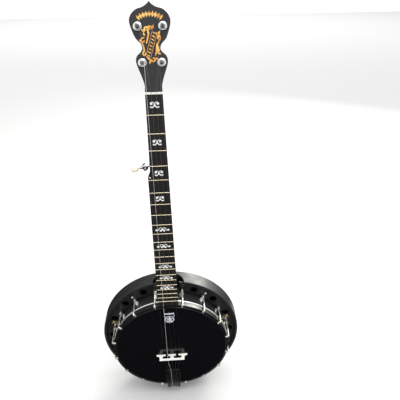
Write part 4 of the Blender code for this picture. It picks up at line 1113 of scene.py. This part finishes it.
def build_tailpiece():
    length = math.hypot(TAIL_REAR - TAIL_FRONT, TAIL_FRONT_HEIGHT - TAIL_REAR_HEIGHT)
    corner = 4
    right = arc((20 - corner, -corner), corner, 90, 0, 6) + arc((17 - 2, -length + 2), 2, 0, -90, 4)
    plate = prism(right + other_side(right), -TAIL_THICKNESS, 0, 0.5, 3)
    lip = tube([(x, -1.2, -1.35) for x in (-16.6, -16, 0, 16, 16.6)],
               [(0.9, 0.9)] + [(1.3, 1.3)] * 3 + [(0.9, 0.9)], 14, across=(0, 0, 1))
    rib = merged(*[tube([(side * 17.4, -7, -0.7), (side * 17.3, -8, -0.5), (side * 15.2, -length + 6, -0.5),
                         (side * 15.1, -length + 5, -0.7)], 0.6, 10) for side in (1, -1)])
    top = moved(merged(plate, lip, rib), tail_slope())
    leg = block((-9, -TAIL_REAR, -18.5), (9, -TAIL_REAR + TAIL_THICKNESS, TAIL_REAR_HEIGHT - 1), 0.7)
    holes = merged(*[moved(prism(circle(radius, 24), 140, 160), (0, 0, height), DOWN)
                     for radius, height in ((ROD_HOLE_RADIUS, ROD_HEIGHT), (2.4, TAIL_SCREW_HEIGHT))])
    piece("tailpiece_body", merged(top, cut(leg, holes)), POT, TAIL_ENAMEL, "tailpiece")

    pins = []
    for rank in (2, 1, 0, -1, -2):
        pin = turned([(0, -0.5), (0.7, -0.5), (0.7, 1.2), (1.1, 1.5), (1.0, 1.9), (0, 2.0)], 16)
        pins.append(moved(pin, tail_slope(), (rank * TAIL_REAR_SPACING, -length + 5, 0)))
    piece("tailpiece_pins", merged(*pins), POT, CHROME)

    outside = TAIL_REAR + 0.1
    bolt = rod(3, 127, outside, 28)
    washer = prism(circle(5.2, 28), outside, outside + 0.9, 0.2)
    head = prism(circle(4.9, 6), outside + 0.9, outside + 3.6, 0.5)
    dome = turned([(0, outside + 3.2), (3.6, outside + 3.2), (3.2, outside + 3.8), (1.8, outside + 4.2),
                   (0, outside + 4.3)], 24)
    piece("tailpiece_bolt_and_nut", moved(merged(bolt, washer, head, dome), (0, 0, ROD_HEIGHT), DOWN),
          POT, CHROME, "tailpiece_bolt")
    tip = HOOP_RADIUS + 0.1
    screw = turned([(0, tip), (1.6, tip), (2, tip + 0.5), (2, outside + 0.5), (0, outside + 0.5)], 24)
    knob = prism(lobed(4, 0.4, 16), outside, outside + 4.4, 0.6)
    piece("tailpiece_adjuster", moved(merged(screw, knob), (0, 0, TAIL_SCREW_HEIGHT), DOWN), POT,
          COATING, "tailpiece_screw", "tailpiece_screw")


# ------------------------------------------------------------------ resonator
def build_resonator():
    corner = 2.5
    edge = 1.0
    wall_end = SHELL_FRONT - RESONATOR_WALL_DEPTH + corner
    floor_radius = 60
    inside = SHELL_BACK + RESONATOR_THICKNESS
    profile = [(0, SHELL_BACK), (floor_radius, SHELL_BACK), (118, SHELL_BACK + 1.4)]
    profile += arc((SHELL_RADIUS - corner, wall_end), corner, 270, 360, 10)
    profile += arc((SHELL_RADIUS - edge, SHELL_FRONT - edge), edge, 0, 90, 4)
    profile += arc((RESONATOR_INNER_RADIUS + edge, SHELL_FRONT - edge), edge, 90, 180, 4)
    profile += arc((RESONATOR_INNER_RADIUS - 5, inside + 8.5), 5, 0, -90, 5)
    profile += [(floor_radius, inside), (0, inside)]
    shell = turned(profile)
    half = HEEL_NOTCH_HALF_WIDTH
    bend = HEEL_NOTCH_CORNER
    floor = -SHELL_FRONT + HEEL_NOTCH_DEPTH
    notch = [(-half, -SHELL_FRONT - 12), (half, -SHELL_FRONT - 12)]
    notch += arc((half - bend, floor - bend), bend, 0, 90, 12)
    notch += arc((-half + bend, floor - bend), bend, 90, 180, 12)
    notch_block = moved(prism(notch, 150, 190), UP)
    piece("resonator_bowl", cut(shell, notch_block), POT, LACQUER, "resonator_shell", "resonator")

    plate = soft_ring(FLANGE_INNER_RADIUS, FLANGE_RADIUS + 0.25, FLANGE_BACK, FLANGE_FRONT, 0.8)
    below = FLANGE_BACK - 5
    above = FLANGE_FRONT + 5
    tools = [block((-FLANGE_SLOT_HALF_WIDTH, 120, below), (FLANGE_SLOT_HALF_WIDTH, 180, above), 0)]
    wells = [(angle, SOUND_HOLE_PLACE, SOUND_HOLE_RADIUS, 36) for angle in SOUND_HOLE_ANGLES]
    wells += [(angle, THUMBSCREW_PLACE, THUMBSCREW_HOLE_RADIUS, 16) for angle in THUMBSCREW_ANGLES]
    for angle, radius, size, sides in wells:
        well = prism(circle(size, sides, (0, radius)), below, above)
        tools.append(moved(well, rotation("Z", -angle)))
    piece("resonator_flange_plate", cut(plate, merged(*tools)), POT, COATING, "resonator_flange",
          "resonator")


def build_flange_screws():
    """Round-headed screws that hold the flange to its ledge."""
    for number, angle in enumerate(FLANGE_SCREW_ANGLES, start=1):
        screw = turned([(0, -0.4), (2.9, -0.4), (3.1, 0.1), (2.9, 1.2), (2.1, 2.1), (1.1, 2.55),
                        (0, 2.6)], 24)
        screw = cut(screw, block((-4, -0.35, 1.9), (4, 0.35, 4), 0))
        screw = moved(screw, rotation("Z", -angle), (0, FLANGE_SCREW_PLACE, FLANGE_FRONT))
        piece(f"flange_screw_{number}", screw, POT, HOOK_PLATING, body="resonator")


def build_resonator_fittings():
    wall = RIM_RADIUS + 0.1
    back = FLANGE_FRONT + 0.1
    front = back + ANGLE_PLATE_THICKNESS
    half = 7
    for number, angle in enumerate(THUMBSCREW_ANGLES, start=1):
        turn = rotation("Z", -angle)
        end = arc((4, 156), 3, 0, 90, 5)
        tab = prism([(half, wall)] + end + other_side(end) + [(-half, wall)], back, front, 0.4)
        tab = cut(tab, prism(circle(THUMBSCREW_HOLE_RADIUS, 24, (0, THUMBSCREW_PLACE)), -40, -15))
        wall_outline = [(-half, back), (half, back), (half, -14), (4, -10), (-4, -10), (-half, -14)]
        plate = moved(prism(wall_outline, 0, ANGLE_PLATE_THICKNESS, 0.4), (0, wall, 0), STANDING)
        rivet = moved(turned([(0, 1.6), (2.6, 1.6), (2.4, 2.4), (1.4, 3), (0, 3.2)], 24),
                      (0, wall, -16), UP)
        piece(f"resonator_angle_plate_{number}", merged(tab, plate, rivet), POT @ turn, BRASS,
              f"resonator_bracket_{number}")

        head = cut(prism(lobed(5.5, 0.45, 20), front + 0.1, front + 5.1, 0.5),
                   block((-7, -0.5, front + 4), (7, 0.5, front + 8), 0))
        shank = turned([(0, -36), (1.6, -36), (2, -35.4), (2, front + 1), (0, front + 1)], 24)
        thumbscrew = moved(merged(head, shank), turn, (0, THUMBSCREW_PLACE, 0))
        node = f"thumbscrew_{number}"
        piece(f"{node}_knurled", thumbscrew, POT, CHROME, node, node)


# ------------------------------------------------------------------ strings
def string_route(number):
    """World points of a string, from its post over the nut and bridge to the tailpiece."""
    lift = STRING_LIFT + STRING_RADII[number - 1]
    if number == 5:
        start = BOARD @ Vector((-FIFTH_TUNER_SIDE + FIFTH_POST_RADIUS + lift, -FIFTH_TUNER_DROP, 3.7))
        over_nut = BOARD @ Vector((-FIFTH_NUT_SIDE, -FIFTH_NUT_DROP, FIFTH_NUT_RISE + lift))
    else:
        side, up = TUNER_PLACES[number]
        inward = -math.copysign(1, side)
        start = FACE @ Vector((side + inward * (TUNER_POST_RADIUS + lift), up, TUNER_STRING_HEIGHT))
        over_nut = BOARD @ Vector(((2.5 - number) * NUT_SPACING, (NUT_BOTTOM + NUT_TOP) / 2, NUT_RISE + lift))
    rank = 3 - number
    bridge_top = FILM_FRONT + 0.3 + BRIDGE_HEIGHT
    over_bridge = POT @ Vector((rank * BRIDGE_SPACING, -BRIDGE_DROP, bridge_top + lift))
    on_tail = POT @ Vector((rank * TAIL_FRONT_SPACING, -TAIL_FRONT, TAIL_FRONT_HEIGHT + lift))
    at_end = POT @ tail_slope() @ Vector((rank * TAIL_REAR_SPACING, -75.2, 0.8))
    return [start, over_nut, over_bridge, on_tail, at_end]


def build_strings():
    for number in range(1, 6):
        radius = STRING_RADII[number - 1] * MM
        wire = tube(string_route(number), radius, 10)
        rank = 3 - number
        loop_path = [(rank * TAIL_REAR_SPACING + x, y, 0.8) for x, y in circle(1.1, 18, (0, -76.4))]
        loop = tube(loop_path + loop_path[:1], radius / MM, 8, across=(0, 0, 1))
        loop.transform(POT @ tail_slope())
        piece(f"string_{number}_wire", merged(wire, loop), WORLD, string_metal(number),
              f"string_{number}")


# ------------------------------------------------------------------ stage
def level(left, right, front, back, height):
    return [(left, front, height), (right, front, height), (right, back, height), (left, back, height)]


def upright(left, right, y, low, high):
    return [(left, y, low), (right, y, low), (right, y, high), (left, y, high)]


def stage_plane(name, corners, colour):
    mesh = bpy.data.meshes.new(name)
    mesh.from_pydata(corners, [], [tuple(range(len(corners)))])
    material, _, shader = new_material(name, colour, 0.9)
    shader.inputs["Specular IOR Level"].default_value = 0.0
    mesh.materials.append(material)
    item = bpy.data.objects.new(name, mesh)
    bpy.context.scene.collection.objects.link(item)
    return item


def dark_card(name, corners):
    """Black card that only shows up in what glossy surfaces reflect."""
    card = stage_plane(name, corners, even(0.004))
    card.visible_camera = False
    card.visible_diffuse = False
    card.visible_shadow = False
    card.visible_transmission = False


def soft_light(name, location, target, size, power, colour=(1, 1, 1)):
    lamp = bpy.data.lights.new(name, "AREA")
    lamp.shape = "RECTANGLE"
    lamp.size, lamp.size_y = size
    lamp.energy = power
    lamp.color = colour
    item = bpy.data.objects.new(name, lamp)
    item.location = location
    item.rotation_euler = (Vector(target) - Vector(location)).to_track_quat("-Z", "Y").to_euler()
    item.visible_camera = False
    bpy.context.scene.collection.objects.link(item)


def build_stage():
    floor = cad_bounds[0][2]
    reach = 12
    stage_plane("floor", level(-reach, reach, -reach, reach, floor), even(0.60))
    # the head and the hoop's front face mirror the dark floor in front of the player
    near = floor + 0.005
    dark_card("front_card", level(-3, 3, -6, -0.05, near))
    # the left walls mirror the dark side of the room
    far = 1.5
    dark_card("left_card", upright(-5, -0.12, far, near, 1.2))
    dark_card("left_floor_card", [(-5, 0.2, near), (-0.2, 0.2, near), (-0.12, far, near), (-5, far, near)])
    # the lower right wall mirrors the shaded floor behind it
    dark_card("right_floor_card", level(0.3, 3, 0.35, 3, near))
    # the ends of the tuner posts mirror whoever stands in front
    dark_card("player_card", upright(-0.35, 0.35, -1.6, 0.35, 1.0))
    middle = (0, 0, -0.4)
    soft_light("overhead_softbox", (0.6, -0.3, 2.2), middle, (2.4, 2.4), 50)
    soft_light("right_rear_window", (1.3, 2.1, 0.7), middle, (1.2, 1.0), 54, (0.97, 1.0, 0.91))
    # evens out the far floor, so that it meets the backdrop without a line
    soft_light("far_floor_softbox", (0, 9, 3.5), (0, 9, 0), (12, 8), 300)

    world = bpy.data.worlds.new("studio")
    world.use_nodes = True
    backdrop = world.node_tree.nodes["Background"]
    backdrop.inputs["Color"].default_value = (1.0, 1.0, 1.0, 1.0)
    backdrop.inputs["Strength"].default_value = 1.15
    bpy.context.scene.world = world
    bpy.context.scene.view_settings.view_transform = "Standard"


def build_camera():
    """Above the pot and slightly to the right, looking down the instrument."""
    view = bpy.data.cameras.new("camera")
    view.sensor_width = 36
    view.lens = 35.61
    view.clip_end = 50
    camera = bpy.data.objects.new("camera", view)
    heading = rotation("Z", -3.28)
    pitch = rotation("X", 60.48)
    roll = rotation("Z", -0.87)
    place = METRES @ shift(38.5, -724.1, 181.7) @ METRES.inverted()
    camera.matrix_world = place @ heading @ pitch @ roll
    bpy.context.scene.collection.objects.link(camera)
    bpy.context.scene.camera = camera


build_neck()
build_fretboard()
build_headstock_ornament()
build_nuts()
build_tuners()
build_fifth_tuner()
build_pot_rings()
build_head_ornament()
build_brackets()
build_coordinator_rod()
build_bridge()
build_tailpiece()
build_resonator()
build_flange_screws()
build_resonator_fittings()
build_strings()
build_stage()
build_camera()

bpy.context.view_layer.update()
